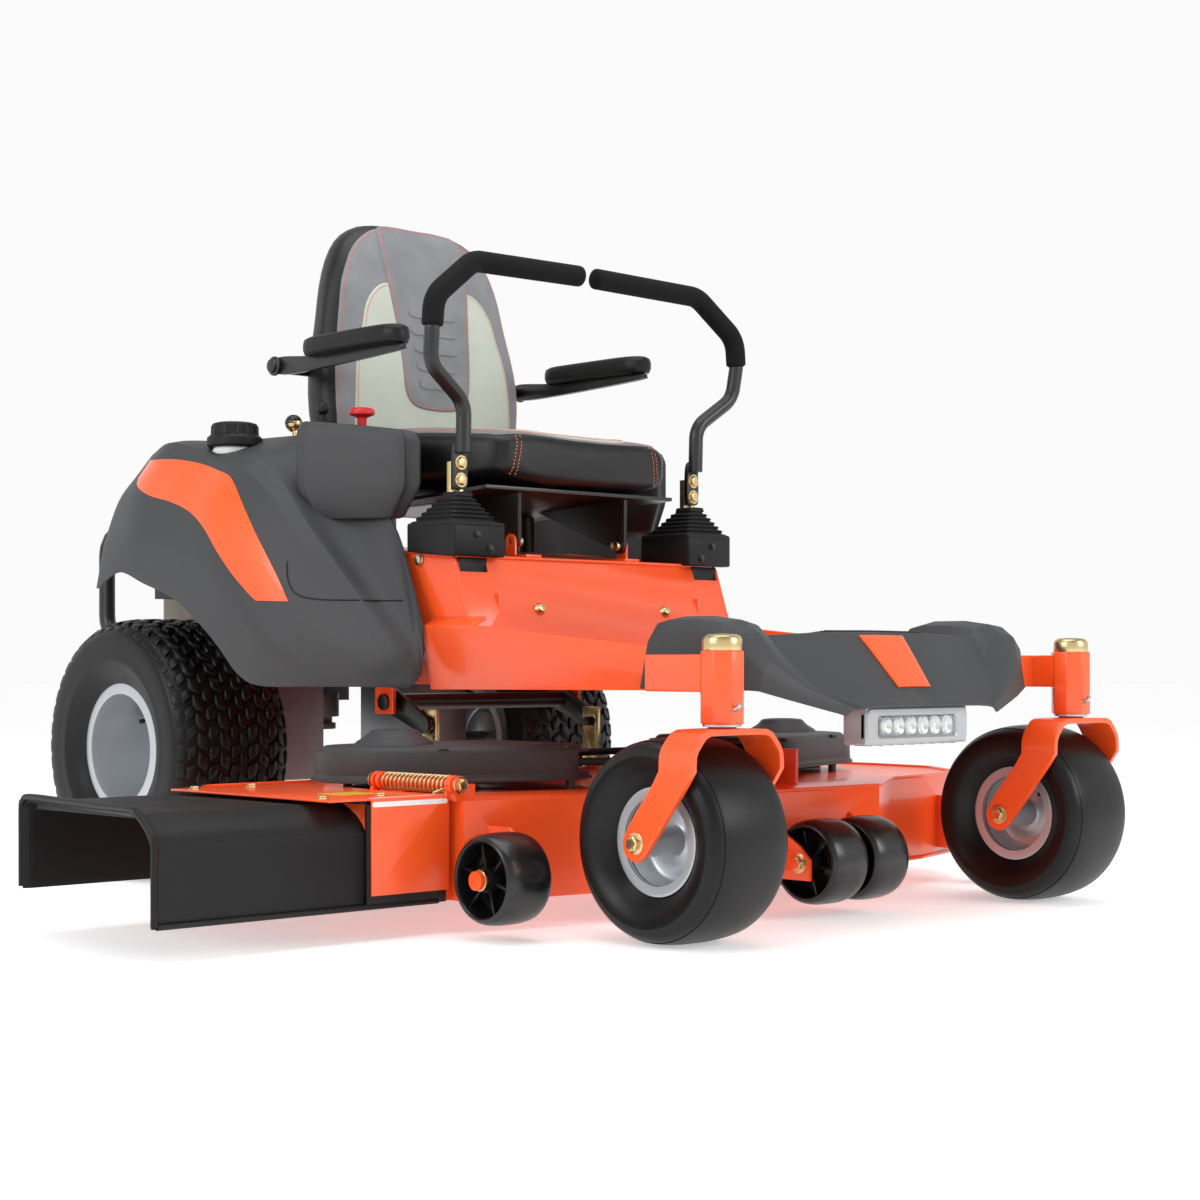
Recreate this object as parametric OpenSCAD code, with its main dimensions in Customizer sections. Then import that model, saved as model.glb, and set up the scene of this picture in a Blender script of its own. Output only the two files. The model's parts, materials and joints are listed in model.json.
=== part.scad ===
// Zero-turn mower: machine frame, +Z up, front towards -Y, the operator's right is -X.
// Lengths are millimetres. Modules are drawn about the rear axle line (y = 0) on the ground
// (z = 0), and the whole machine is then moved so that its box is centred on the origin.

/* [Overall] */
// Distance from the rear axle to the front caster spindles
spindle_y = 1361; // [1330:1:1400]
// Half the distance between the caster spindles
spindle_x = 403; // [395:1:430]
// How far the rear bumper tube reaches behind the rear axle
guard_reach = 478; // [465:1:560]
// Height of the top of the seat back
seat_top = 1180; // [1150:1:1220]

/* [Wheels] */
// Rear tyre outside radius
rear_r = 228.5; // [215:0.5:230]
// Rear tyre section width
rear_w = 235; // [200:1:240]
// Rear tyre centre plane from the machine's centre
rear_x = 393; // [388:1:430]
// Caster tyre outside radius
caster_r = 140; // [125:1:141]
// Caster tyre section width
caster_w = 152; // [130:1:153]
// How far each caster wheel trails its spindle
trail = 74; // [60:1:80]

/* [Frame] */
// Outer face of the side plates from the centre
side_x = 330; // [322:1:336]
// Underside of the main rails
rail_z = 345; // [340:1:350]
// Height of the main rails
rail_h = 50; // [40:1:50]
// Depth of the front beam along the machine
beam_d = 65; // [50:1:66]
// Sheet metal thickness of the frame panels
sheet = 4; // [3:0.5:5]

/* [Deck] */
// Distance of the outer blade spindles from the centre
spin_x = 445; // [442:1:447]
// How far the centre spindle sits ahead of the outer ones
spin_step = 200; // [198:1:206]
// Length of each blade
blade_len = 480; // [420:1:481]
// Distance of the outer spindles ahead of the rear axle
spin_y = 715; // [710:1:720]
// Lower edge of the deck skirt at the lowest setting
deck_low = 45; // [40:1:50]
// Top face of the deck shell at the lowest setting
deck_top = 186; // [180:1:190]
// How far the discharge chute reaches from the centre
chute_reach = 1045; // [980:1:1100]
// Radius of the anti-scalp rollers
roller_r = 63.5; // [50:0.5:64]
// Cutting height travel of the deck
deck_travel = 76; // [40:1:76]

/* [Controls] */
// Radius of the lap bar tube
bar_r = 12.5; // [10:0.5:14]
// Radius of the foam grip
grip_r = 17.5; // [15:0.5:19]

/* [Hidden] */
$fn = 48;

run = 0.05;            // radial clearance of a running fit
gap = 0.3;             // clearance between curved faces that pass each other
orange = "#f4581c";
grey = "#4b4b4b";
zinc = "#c9b67a";
black = "#1c1c1c";

caster_y = -(spindle_y - trail);
deck_left = spin_x + blade_len / 2 + 15;
x_mid = (deck_left - chute_reach) / 2;
y_mid = (guard_reach - (spindle_y - trail) - caster_r) / 2;

rail_top = rail_z + rail_h;
rail_in = 212;
rail_w = 50;
floor_z = rail_top;
beam_y = -spindle_y + 87;
tube_low = rail_z - 46.7;
tube_top = tube_low + 98;
spindle_r = 12.7;
tube_af = 57;
fork_t = 8;
fork_x = caster_w / 2 + 4.9;
caster_hub_r = 19;
caster_bolt_r = 8;
hinge_y = -625.7;
hinge_z = 581;
hinge_x = 122.8;
hinge_r = 5;
arm_x = 268;
arm_y = -648;
arm_pivot_z = 470;
swing_z = 672;
chute_x = -560;
chute_z = deck_top + 23;
chute_rod_r = 6;
chute_front = -985;
chute_wall = -697;
side_y = -spin_y;
mid_y = -spin_y - spin_step;
shaft_r = 12.5;
pulley_r = 69.7;
pulley_z = deck_top + 30;
roller_bolt_r = 8;
roller_z = deck_low + 40;
side_roller = [560, -1100];
mid_roller_y = mid_y - blade_len / 2 - 8 - roller_r - 4;
lift_y = -400;
lift_z = 312;
lift_arm = 90;
lift_angle = asin(deck_travel / 2 / lift_arm);
lift_pin_r = 6;
link_x = 190;
engine_y = 130;
hitch_y = 428;
hitch_z = 300;
hitch_r = 9.5;
cap_x = -360;
cap_y = -163;
cap_z = 752;
throttle_x = -345;
throttle_y = -398;
armrest_y = -180;
armrest_z = 899;
lever_x = -283;
lever_y = -310;
lever_z = 485;

module machine() translate([-x_mid, -y_mid, 0]) children();
module both() { children(); mirror([1, 0, 0]) children(); }
// a bar of a side-view outline (y, z), between two distances from the centre
module slab(x0, x1) translate([x0, 0, 0]) rotate([90, 0, 90]) linear_extrude(x1 - x0) children();
module block(lo, hi) translate(lo) cube(hi - lo);
module across(x0, x1, y, z, r) translate([x0, y, z]) rotate([0, 90, 0]) cylinder(h = x1 - x0, r = r);
module along(y0, y1, x, z, r) translate([x, y1, z]) rotate([90, 0, 0]) cylinder(h = y1 - y0, r = r);
// a thin moulded panel between corner points
module skin(points, t = 5) hull() for (p = points) translate(p) cube(t, center = true);

// Round tube swept along a route whose corners are blended to radius b
function unit(v) = v / norm(v);
function blend(a, p, b, r) =
  let (u = unit(a - p), v = unit(b - p), half = acos(u * v) / 2,
       d = min(r / tan(half), norm(a - p) / 2.01, norm(b - p) / 2.01),
       q = d * tan(half), c = p + unit(u + v) * q / sin(half))
  [for (i = [0 : 5]) let (s = i / 5, m = unit((p + u * d - c) * (1 - s) + (p + v * d - c) * s)) c + m * q];
function route(p, r) = concat([p[0]],
  [for (i = [1 : len(p) - 2]) each blend(p[i - 1], p[i], p[i + 1], r)], [p[len(p) - 1]]);
function lean(q, i) = unit(q[min(i + 1, len(q) - 1)] - q[max(i - 1, 0)]);
module swept(p, bend, r, sides = 12) {
  q = route(p, bend);
  n = len(q);
  up = [1, 3, 2];      // no route runs along this direction
  rings = [for (i = [0 : n - 1]) let (t = lean(q, i), a = unit(cross(t, up)), b = cross(a, t))
    for (k = [0 : sides - 1]) q[i] + r * (a * cos(k * 360 / sides) + b * sin(k * 360 / sides))];
  polyhedron(rings, concat([[for (k = [sides - 1 : -1 : 0]) k]],
    [for (i = [0 : n - 2], k = [0 : sides - 1])
      [i * sides + k, i * sides + (k + 1) % sides, (i + 1) * sides + (k + 1) % sides, (i + 1) * sides + k]],
    [[for (k = [0 : sides - 1]) (n - 1) * sides + k]]), convexity = 4);
}

// ---------- frame ----------
module rail_plan() polygon([[side_x - 6, beam_y + beam_d / 2], [side_x - 6, -560], [rail_in + rail_w, -400],
  [rail_in + rail_w, 330], [rail_in, 330], [rail_in, -412], [side_x - 56, -580],
  [side_x - 56, beam_y + beam_d / 2]]);
module frame_rails() color(orange) machine() both() {
  difference() {
    translate([0, 0, rail_z]) linear_extrude(rail_h) rail_plan();
    translate([0, 0, rail_z + sheet]) linear_extrude(rail_h - 2 * sheet) offset(delta = -sheet) rail_plan();
  }
  slab(side_x - 6, side_x) polygon([[beam_y + beam_d / 2, 341], [beam_y + beam_d / 2, 400], [-1164, 402],
    [-762, 438], [-640, 438], [-662, 337]]);
  translate([0, -640, 0]) rotate([90, 0, 0]) linear_extrude(122)
    polygon([[301, 452], [side_x, 438], [side_x, 433], [301, 446]]);
  difference() {
    block([rail_in, lift_y - 25, lift_z - 20], [rail_in + 6, lift_y + 25, rail_z]);
    across(rail_in - 1, rail_in + 8, lift_y, lift_z, 14 + run);
  }
}
module lever_bracket() block([-rail_in - rail_w, lever_y - 22, rail_top],
  [-rail_in - rail_w + 6, lever_y + 22, lever_z + 15]);
module front_beam() color(orange) machine() {
  difference() {
    block([-spindle_x, beam_y - beam_d / 2, 341], [spindle_x, beam_y + beam_d / 2, rail_top - 4]);
    block([-spindle_x + 40, beam_y - beam_d / 2 + sheet, 341 + sheet],
      [spindle_x - 40, beam_y + beam_d / 2 - sheet, rail_top - 4 - sheet]);
    both() translate([spindle_x, -spindle_y, tube_low]) cylinder(h = 98, r = spindle_r + run);
  }
  both() difference() {
    union() {
      translate([spindle_x, -spindle_y, tube_low]) rotate(22.5)
        cylinder(h = tube_top - tube_low, r = tube_af / 2 / cos(22.5), $fn = 8);
      block([spindle_x - 27, -spindle_y, 341], [spindle_x + 27, beam_y + beam_d / 2, rail_top - 4]);
    }
    translate([spindle_x, -spindle_y, tube_low - 1]) cylinder(h = 100, r = spindle_r + run);
  }
}
module caster_caps() color(zinc) machine() both() translate([spindle_x, -spindle_y, tube_top])
  rotate_extrude() polygon([[22, 0], [27, 0], [27, 14], [24.5, 19], [19, 21.5], [0, 22.5], [0, 19.5],
    [18, 18.5], [22, 13]]);
module floor_pan() color(orange) machine() {
  block([-side_x + 7, beam_y + beam_d / 2, floor_z], [side_x - 7, -738, floor_z + sheet]);
  block([-rail_in + 7, -740, floor_z], [rail_in - 7, -380, floor_z + sheet]);
}
module box_side(d) polygon([[-736 + d, floor_z + sheet - d * 20], [-686 + d, 548 - d], [-300 + d * 20, 584 - d],
  [-300 + d * 20, floor_z + sheet - d * 20]]);
module seat_box() color(orange) machine() {
  difference() {
    slab(-300, 300) box_side(0);
    slab(-300 + sheet, 300 - sheet) box_side(sheet);
    both() block([arm_x - 30, arm_y - 46, 500], [arm_x + 28, arm_y + 48, 620]);
  }
  both() difference() {
    block([arm_x - 42, -715, arm_pivot_z - 25], [arm_x - 36, arm_y + 20, arm_pivot_z + 20]);
    across(arm_x - 50, arm_x - 30, arm_y, arm_pivot_z, 9 + run);
  }
  both() difference() {
    union() {
      block([hinge_x + 4, hinge_y - 12, 550], [hinge_x + 8, hinge_y + 12, hinge_z]);
      across(hinge_x + 4, hinge_x + 8, hinge_y, hinge_z, 12);
      block([hinge_x - 26, hinge_y - 40, 552], [hinge_x + 8, hinge_y + 24, 557.5]);
    }
    across(hinge_x, hinge_x + 10, hinge_y, hinge_z, hinge_r + run);
  }
}
module engine_deck() color(black) machine() difference() {
  union() {
    block([-rail_in, -80, rail_top - 8], [rail_in, 330, rail_top]);
    block([-rail_in - rail_w, 330, 300], [rail_in + rail_w, 338, rail_top + 40]);
    block([-60, 338, hitch_z], [60, hitch_y + 22, hitch_z + 8]);
  }
  translate([0, hitch_y, hitch_z - 5]) cylinder(h = 20, r = hitch_r);
  translate([0, engine_y, rail_top - 20]) cylinder(h = 40, r = 40);
}
module engine_guard() color(black) machine() {
  y = guard_reach - 16;
  swept([[-236, 338, 415], [-236, y, 415], [-236, y, 650], [236, y, 650], [236, y, 415], [236, 338, 415]], 60, 16);
}

// ---------- front casters ----------
module fork(s) color(orange) machine() mirror([s, 0, 0]) translate([spindle_x, -spindle_y, 0]) {
  crown = tube_low - 6;
  difference() {
    union() {
      translate([0, 31, 0]) rotate([90, 0, 0]) linear_extrude(62) difference() {
        polygon([[-fork_x - fork_t, crown - 55], [-fork_x - fork_t, crown - 24], [-fork_x + 14, crown],
          [fork_x - 14, crown], [fork_x + fork_t, crown - 24], [fork_x + fork_t, crown - 55]]);
        polygon([[-fork_x, crown - 56], [-fork_x, crown - 27], [-fork_x + 18, crown - fork_t],
          [fork_x - 18, crown - fork_t], [fork_x, crown - 27], [fork_x, crown - 56]]);
      }
      for (m = [0, 1]) mirror([m, 0, 0]) slab(fork_x, fork_x + fork_t) {
        translate([trail, caster_r]) circle(r = 25);
        polygon([[-31, crown - 54], [31, crown - 54], [trail + 25, caster_r + 4], [trail - 18, caster_r - 17]]);
      }
      cylinder_at(0, crown, 6, 22);
      cylinder_at(0, crown, tube_top - crown + 8, spindle_r);
      cylinder_at(0, tube_top + gap, 8, 17);
    }
    across(-fork_x - 20, fork_x + 20, trail, caster_r, caster_bolt_r + run);
  }
  across(-fork_x - fork_t, fork_x + fork_t, trail, caster_r, caster_bolt_r);
  for (m = [0, 1]) mirror([m, 0, 0]) across(fork_x + fork_t, fork_x + fork_t + 7, trail, caster_r, 13);
}
module cylinder_at(y, z, h, r) translate([0, y, z]) cylinder(h = h, r = r);
// wheel parts turn about X: profile is (radius, distance from the wheel's centre plane)
module wheel(s, x, y, z) machine() mirror([s, 0, 0]) translate([x, y, z]) rotate([0, 90, 0])
  rotate_extrude($fn = 96) children();
module tyre_ring(r, w, bead, lip, rim_w, t) {
  mid = (r + bead) / 2;
  wide = r - min(38, (r - bead) / 2);
  polygon([[bead, rim_w / 2], [lip, rim_w / 2], [mid, w / 2 - 2], [wide, w / 2], [r - 15, w / 2 - 6],
    [r - 4, w / 2 - 22], [r, w / 2 - 45], [r, -w / 2 + 45], [r - 4, -w / 2 + 22], [r - 15, -w / 2 + 6],
    [wide, -w / 2], [mid, -w / 2 + 2], [lip, -rim_w / 2], [bead, -rim_w / 2], [bead, -rim_w / 2 + t],
    [mid, -w / 2 + t], [wide, -w / 2 + t], [r - t - 4, -w / 2 + 26], [r - t - 4, w / 2 - 26],
    [wide, w / 2 - t], [mid, w / 2 - t], [bead, rim_w / 2 - t]]);
}
module rear_tyre(s) color(black) wheel(s, rear_x, 0, rear_r) tyre_ring(rear_r, rear_w, 102, 114.5, 184, 12);
module rear_rim(s) color("silver") {
  wheel(s, rear_x, 0, rear_r) polygon([[97, -95], [113.4, -95], [113.4, -92], [101.8, -92], [101.8, 92],
    [113.4, 92], [113.4, 95], [97, 95], [97, -28], [60, -40], [32, -40], [32, -30],
    [0, -30], [0, -68], [40, -68], [40, -46], [62, -46], [97, -34]]);
  machine() mirror([s, 0, 0]) across(210, rear_x - 30, 0, rear_r, shaft_r);
  machine() mirror([s, 0, 0]) translate([rear_x - 40, 0, rear_r]) for (k = [0 : 3]) rotate([k * 90 + 45, 0, 0])
    across(-1, 12, 0, 47, 8);
}
module caster_tyre(s) color(black) wheel(s, spindle_x, caster_y, caster_r)
  tyre_ring(caster_r, caster_w, 64, 74.5, 96, 12);
module caster_rim(s) color("silver") wheel(s, spindle_x, caster_y, caster_r) polygon([
  [caster_bolt_r + run, -caster_w / 2 - 3], [caster_hub_r, -caster_w / 2 - 3], [caster_hub_r, -8], [58, -12],
  [59, -51], [73.5, -51], [73.5, -48], [63.8, -48], [63.8, 48], [73.5, 48], [73.5, 51], [59, 51],
  [58, 0], [caster_hub_r, 4], [caster_hub_r, caster_w / 2 + 3], [caster_bolt_r + run, caster_w / 2 + 3]]);

// ---------- body ----------
module fender_shell() {
  a1 = [303, 30, 778]; a2 = [303, -330, 768];
  c1 = [415, -20, 762]; c3 = [415, -262, 722]; c5 = [412, -365, 664]; c7 = [400, -530, 497]; c9 = [368, -664, 340];
  k1 = [490, -40, 610]; k2 = [490, -235, 570]; k3 = [490, -275, 548]; k5 = [482, -430, 416]; k6 = [440, -525, 341];
  b1 = [466, -380, 342]; b2 = [480, -325, 380]; b3 = [480, -225, 451]; b4 = [480, -150, 490]; b5 = [480, 20, 538];
  b6 = [470, 112, 512]; t1 = [447, 72, 674];
  f0 = [305, -525, 617]; f1 = [340, -640, 480]; f2 = [338, -664, 340]; g0 = [386, -402, 617];
  skin([a1, a2, c3, c1]);
  skin([a2, c3, c5, [303, -340, 700]]);
  skin([c1, c3, k2, k1]);
  skin([c3, c5, k3, k2]);
  skin([c5, c7, k5, k3]);
  skin([c7, c9, k6, k5]);
  skin([k1, k2, b3, b4, b5]);
  skin([k2, k3, b2, b3]);
  skin([k3, k5, b1, b2]);
  skin([k5, k6, b1]);
  skin([c1, k1, b5, b6, t1]);
  skin([c5, g0, c7]);
  skin([g0, f0, f1, c7]);
  skin([c7, c9, f2, f1]);
}
module left_fender() color(grey) machine() fender_shell();
module right_fender() color(grey) machine() difference() {
  mirror([1, 0, 0]) fender_shell();
  translate([cap_x, cap_y, 700]) cylinder(h = 100, r = 53);
}
module console_plan() polygon([[262, -556], [300, -560], [384, -404], [384, -372], [262, -372]]);
module console_shell() difference() {
  intersection() {
    translate([0, 0, 624]) linear_extrude(170) console_plan();
    slab(200, 420) polygon([[-600, 600], [-600, 756], [-400, 782], [-300, 782], [-300, 600]]);
  }
  translate([0, 0, 628]) linear_extrude(120) offset(delta = -4) console_plan();
}
module consoles() color(grey) machine() difference() {
  both() console_shell();
  translate([-296, -440, 740]) cylinder(h = 60, r = 8.1);
  block([throttle_x - 5, throttle_y - 25, 740], [throttle_x + 5, throttle_y + 20, 800]);
}
module fuel_tank() color("ivory") machine() difference() {
  union() {
    block([-412, -240, 492], [-318, 10, 708]);
    translate([cap_x, cap_y, 700]) cylinder(h = cap_z - 700, r = 33);
  }
  block([-407, -235, 497], [-323, 5, 703]);
  translate([cap_x, cap_y, 695]) cylinder(h = 80, r = 28);
}
module fuel_cap() color(grey) machine() translate([cap_x, cap_y, cap_z]) difference() {
  union() {
    translate([0, 0, 0.2]) cylinder(h = 12, r = 48);
    translate([0, 0, 12]) cylinder(h = 26, r1 = 46, r2 = 39);
    translate([0, 0, 38]) cylinder(h = 6, r1 = 39, r2 = 30);
    translate([0, 0, -14]) cylinder(h = 15, r = 27.9);
    for (k = [0 : 11]) rotate(k * 30) translate([38, -2.5, 12]) cube([8, 5, 22]);
  }
  translate([0, 0, -15]) cylinder(h = 40, r = 23);
}
module pto_knob() color("red") machine() translate([-296, -440, 0]) {
  translate([0, 0, 745]) cylinder(h = 40, r = 8);
  translate([0, 0, 783]) cylinder(h = 14, r1 = 12, r2 = 21);
  translate([0, 0, 797]) cylinder(h = 7, r = 22);
}
module throttle_lever() color(black) machine() translate([throttle_x, throttle_y, 740]) {
  across(-4, 4, 0, 0, 9);
  block([-3, -4, 6], [3, 4, 56]);
  translate([0, 0, 62]) sphere(r = 11);
}
module height_lever() {
  color(zinc) machine() translate([lever_x, lever_y, lever_z]) {
    difference() {
      union() {
        across(-6, 16, 0, 0, 14);
        rotate([-14.6, 0, 0]) cylinder(h = 306, r = 5);
      }
      across(-8, 20, 0, 0, 6 + run);
    }
  }
  color(black) machine() translate([lever_x, lever_y, lever_z]) rotate([-14.6, 0, 0])
    translate([0, 0, 319.8]) sphere(r = 15);
}
module boot_bases() color(black) machine() both() translate([arm_x, arm_y, 0]) difference() {
  intersection() {
    block([-56, -58, 540], [50, 62, 602]);
    slab(-60, 60) polygon([[-60, 548], [-38, 548], [80, 559], [80, 602], [-60, 602]]);
  }
  block([-38, -52, 530], [36, 56, 610]);
}
module boot(s) color(black) machine() mirror([s, 0, 0]) translate([arm_x, arm_y, 602]) difference() {
  union() {
    for (k = [0 : 4]) translate([0, 2, k * 7]) linear_extrude(7, scale = 0.96)
      square([100 - k * 12, 112 - k * 14], center = true);
    translate([-20, -24, 35]) cube([40, 50, 12]);
  }
  block([-17, -20, -1], [17, 22, 60]);
}
module control_arm(s) color(zinc) machine() mirror([s, 0, 0]) translate([arm_x, arm_y, 0]) {
  difference() {
    union() {
      block([-14, -5, arm_pivot_z], [14, 5, swing_z + 30]);
      across(-14, 14, 0, arm_pivot_z, 18);
    }
    across(-20, 20, 0, arm_pivot_z, 9 + run);
    along(-10, 10, 0, swing_z, 6 + run);
  }
}
module lap_bar(s) color(black) machine() mirror([s, 0, 0]) {
  difference() {
    union() {
      block([arm_x - 13, arm_y - 14.3, swing_z - 12], [arm_x + 13, arm_y - 5.3, swing_z + 62]);
      along(arm_y - 14.3, arm_y - 5.3, arm_x, swing_z, 13);
    }
    along(arm_y - 30, arm_y, arm_x, swing_z, 6);
  }
  along(arm_y - 14.3, arm_y + 12, arm_x, swing_z, 6);
  swept([[arm_x, arm_y - 20, swing_z + 50], [arm_x, arm_y - 22, 795], [347, -682, 848], [350, -690, 905],
    [350, -690, 910]], 38, bar_r);
}
module grip(s) color(black) machine() mirror([s, 0, 0])
  swept([[350, -690, 910], [346, -690, 955], [252, -680, 1022], [15, -673, 1027]], 45, grip_r);

// ---------- seat ----------
module seat_pan() color(black) machine() {
  difference() {
    union() {
      slab(-215, 215) polygon([[-662, 662], [-250, 640], [-250, 646], [-662, 668]]);
      both() slab(hinge_x - 4, hinge_x + 3.7) polygon([[hinge_y - 14, hinge_z], [hinge_y + 14, hinge_z - 4],
        [-420, 648], [-640, 664]]);
      both() slab(hinge_x - 4, hinge_x + 3.7) translate([hinge_y, hinge_z]) circle(r = 13);
    }
    both() across(hinge_x - 10, hinge_x + 3.9, hinge_y, hinge_z, hinge_r + run);
  }
  both() translate([170, -330, 583.5]) cylinder(h = 62, r = 14);
  both() block([90, -262, 636], [150, -216, 707]);
}
module seat_cushion() color("gray") machine() hull() {
  both() for (p = [[205, -645, 694], [235, -290, 674], [180, -665, 750], [205, -290, 742]])
    translate(p) sphere(r = 24, $fn = 24);
}
module seat_back() color("gray") machine() {
  hull() both() {
    for (p = [[205, -228, 740], [215, -210, 800], [232, -192, 930], [205, -185, 760],
      [225, -160, 930], [170, -150, 1120], [110, -145, seat_top - 33]])
      translate(p) sphere(r = 33, $fn = 20);
    translate([200, -243, 801]) sphere(r = 25, $fn = 20);
  }
  both() across(230, 292, armrest_y, armrest_z, 7);
}
module armrest(s) color(black) machine() mirror([s, 0, 0]) {
  difference() {
    union() {
      block([272, -520, armrest_z - 6], [286, armrest_y, armrest_z + 6]);
      across(268, 290, armrest_y, armrest_z, 15);
    }
    across(260, 300, armrest_y, armrest_z, 7 + run);
  }
  hull() for (p = [[263, -512], [297, -512], [265, -290], [295, -290]]) translate([p[0], p[1], armrest_z + 6])
    cylinder(h = 28, r1 = 14, r2 = 12, $fn = 24);
}

// moulded cover over the front of the floor, with a wing arching over each rail
module cover_half() {
  x1 = side_x + 4; xm = 232;
  skin([[0, -1150, 405], [0, -1302, 408], [xm, -1302, 408], [xm, -1150, 405]]);
  skin([[0, -1302, 408], [0, -1374, 325], [122, -1374, 325], [xm, -1302, 408]]);
  skin([[122, -1374, 325], [130, -1386, 302], [152, -1386, 302], [xm, -1302, 408]]);
  skin([[152, -1386, 302], [301, -1342, 338], [306, -1330, 420], [xm, -1302, 408]]);
  skin([[xm, -1302, 408], [306, -1330, 420], [x1 - 4, -1290, 438], [xm + 14, -1280, 438]]);
  skin([[xm + 14, -1280, 438], [x1 - 4, -1290, 438], [x1 - 4, -1175, 440], [xm + 14, -1180, 440]]);
  skin([[xm + 14, -1180, 440], [x1 - 4, -1175, 440], [x1 - 4, -1152, 408], [xm + 6, -1150, 408]]);
  skin([[xm, -1302, 408], [xm + 14, -1280, 438], [xm + 14, -1180, 440], [xm, -1150, 408]]);
  difference() {
    hull() for (p = [[-1138, 343], [-1150, 425], [-1175, 440], [-1290, 438], [-1330, 420], [-1342, 343]])
      translate([x1, p[0], p[1]]) cube(5, center = true);
    block([x1 - 10, beam_y - beam_d / 2 - 3, 330], [x1 + 10, beam_y + beam_d / 2 + 3, rail_top]);
  }
}
module foot_cover() color(grey) machine() both() cover_half();
module headlight() color("silver") machine() {
  difference() {
    block([-118, -1372, 262], [118, -1330, 316]);
    block([-88, -1373, 274], [88, -1364, 303]);
  }
  block([-60, -1330, 292], [60, beam_y - beam_d / 2 - 6, 316]);
  block([-60, beam_y - beam_d / 2 - 6, 292], [60, beam_y - beam_d / 2, 360]);
}

// ---------- power ----------
module engine() color("dimgray") machine() translate([0, engine_y, 0]) {
  translate([0, 0, rail_top]) cylinder(h = 130, r = 125);
  for (a = [40, 140]) rotate(a) translate([90, -62, rail_top + 30]) cube([100, 124, 110]);
  translate([0, -20, rail_top + 130]) cylinder(h = 150, r = 165);
  translate([0, -20, rail_top + 280]) cylinder(h = 50, r1 = 150, r2 = 110);
  block([-140, 162, rail_top + 50], [140, 280, rail_top + 130]);
}
module transaxles() color("dimgray") machine() both() difference() {
  union() {
    block([110, -85, 165], [232, 95, rail_z]);
    across(232, 262, 0, rear_r, 34);
  }
  across(205, 270, 0, rear_r, shaft_r + run);
}
module clutch_pulley() color("dimgray") machine() translate([0, engine_y, 0]) {
  translate([0, 0, 250]) cylinder(h = 12, r = 62);
  translate([0, 0, 262]) cylinder(h = 12, r = 55);
  translate([0, 0, 274]) cylinder(h = 45, r = 68);
  translate([0, 0, 319]) cylinder(h = rail_top - 319 - 0.5, r = 14);
}
module battery() color(black) machine() {
  block([-95, -520, floor_z + sheet], [95, -390, 545]);
  for (x = [-70, 70]) translate([x, -500, 545]) cylinder(h = 10, r = 8);
}
module body_bolts() color("silver") machine() {
  both() translate([144.7, -713.43, 466.3]) rotate([71.45, 0, 0]) cylinder(h = 8, r1 = 11, r2 = 6);
  both() across(300, 307, -598, 545, 8);
  both() across(hinge_x - 14, hinge_x + 8, hinge_y, hinge_z, hinge_r);
  both() across(hinge_x - 14, hinge_x - 4.4, hinge_y, hinge_z, 9);
  both() across(arm_x - 42, 296, arm_y, arm_pivot_z, 9);
  lever_bracket();
  across(lever_x - 12, -rail_in - rail_w, lever_y, lever_z, 6);
}

// ---------- deck ----------
module deck_plan(grow = 0) offset(delta = grow) polygon([[-170, mid_y - blade_len / 2 - 8],
  [170, mid_y - blade_len / 2 - 8], [340, -1050], [440, -1035], [600, -985], [deck_left - 12, -860],
  [deck_left, side_y], [deck_left - 12, -560], [620, -462], [-620, -462], [chute_wall, -560], [chute_wall, -975],
  [-552, -975], [-552, -1006], [-440, -1035], [-340, -1050]]);
module deck_shell() color(orange) machine() {
  difference() {
    translate([0, 0, deck_low]) linear_extrude(deck_top - deck_low) deck_plan();
    translate([0, 0, deck_low - 1]) linear_extrude(deck_top - deck_low - 3) deck_plan(-4);
    block([chute_wall - 10, -968, deck_low - 1], [chute_wall + 10, -585, deck_top - 22]);
    for (p = [[-spin_x, side_y], [0, mid_y], [spin_x, side_y]]) translate([p[0], p[1], deck_top - 10])
      cylinder(h = 20, r = 46);
  }
  for (x = [-120, 120]) block([x - 3, mid_y - 120, deck_top], [x + 3, mid_y - 60, deck_top + 55]);
  // chute hinge ears and rod
  for (y = [chute_front - 15, -838]) difference() {
    union() {
      block([chute_x - 3, y, deck_top], [chute_x + 34, y + 6, chute_z]);
      along(y, y + 6, chute_x, chute_z, 13);
    }
    along(y - 5, y + 15, chute_x, chute_z, chute_rod_r + run);
  }
  along(chute_front - 20, -815, chute_x, chute_z, chute_rod_r);
  along(chute_front - 28, chute_front - 15, chute_x, chute_z, 9);
  // roller brackets and bolts
  both() {
    slab(510, 516) polygon([[-1008, 60], [-1008, 150], [-1060, 150], [-1122, 100], [-1122, 60]]);
    across(508, 610, side_roller[1], roller_z, roller_bolt_r);
    across(604.5, 612, side_roller[1], roller_z, 13);
    slab(93, 99) polygon([[mid_y - blade_len / 2 - 6, 60], [mid_y - blade_len / 2 - 6, 150], [mid_roller_y, 110],
      [mid_roller_y - 20, 90], [mid_roller_y - 20, 60]]);
  }
  across(-112, 112, mid_roller_y, roller_z, roller_bolt_r);
}
module cover_plan(grow) offset(delta = grow) hull() {
  translate([-spin_x, side_y]) circle(r = 122, $fn = 64);
  for (y = [-820, -690]) translate([-250, y]) circle(r = 84, $fn = 64);
}
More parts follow.
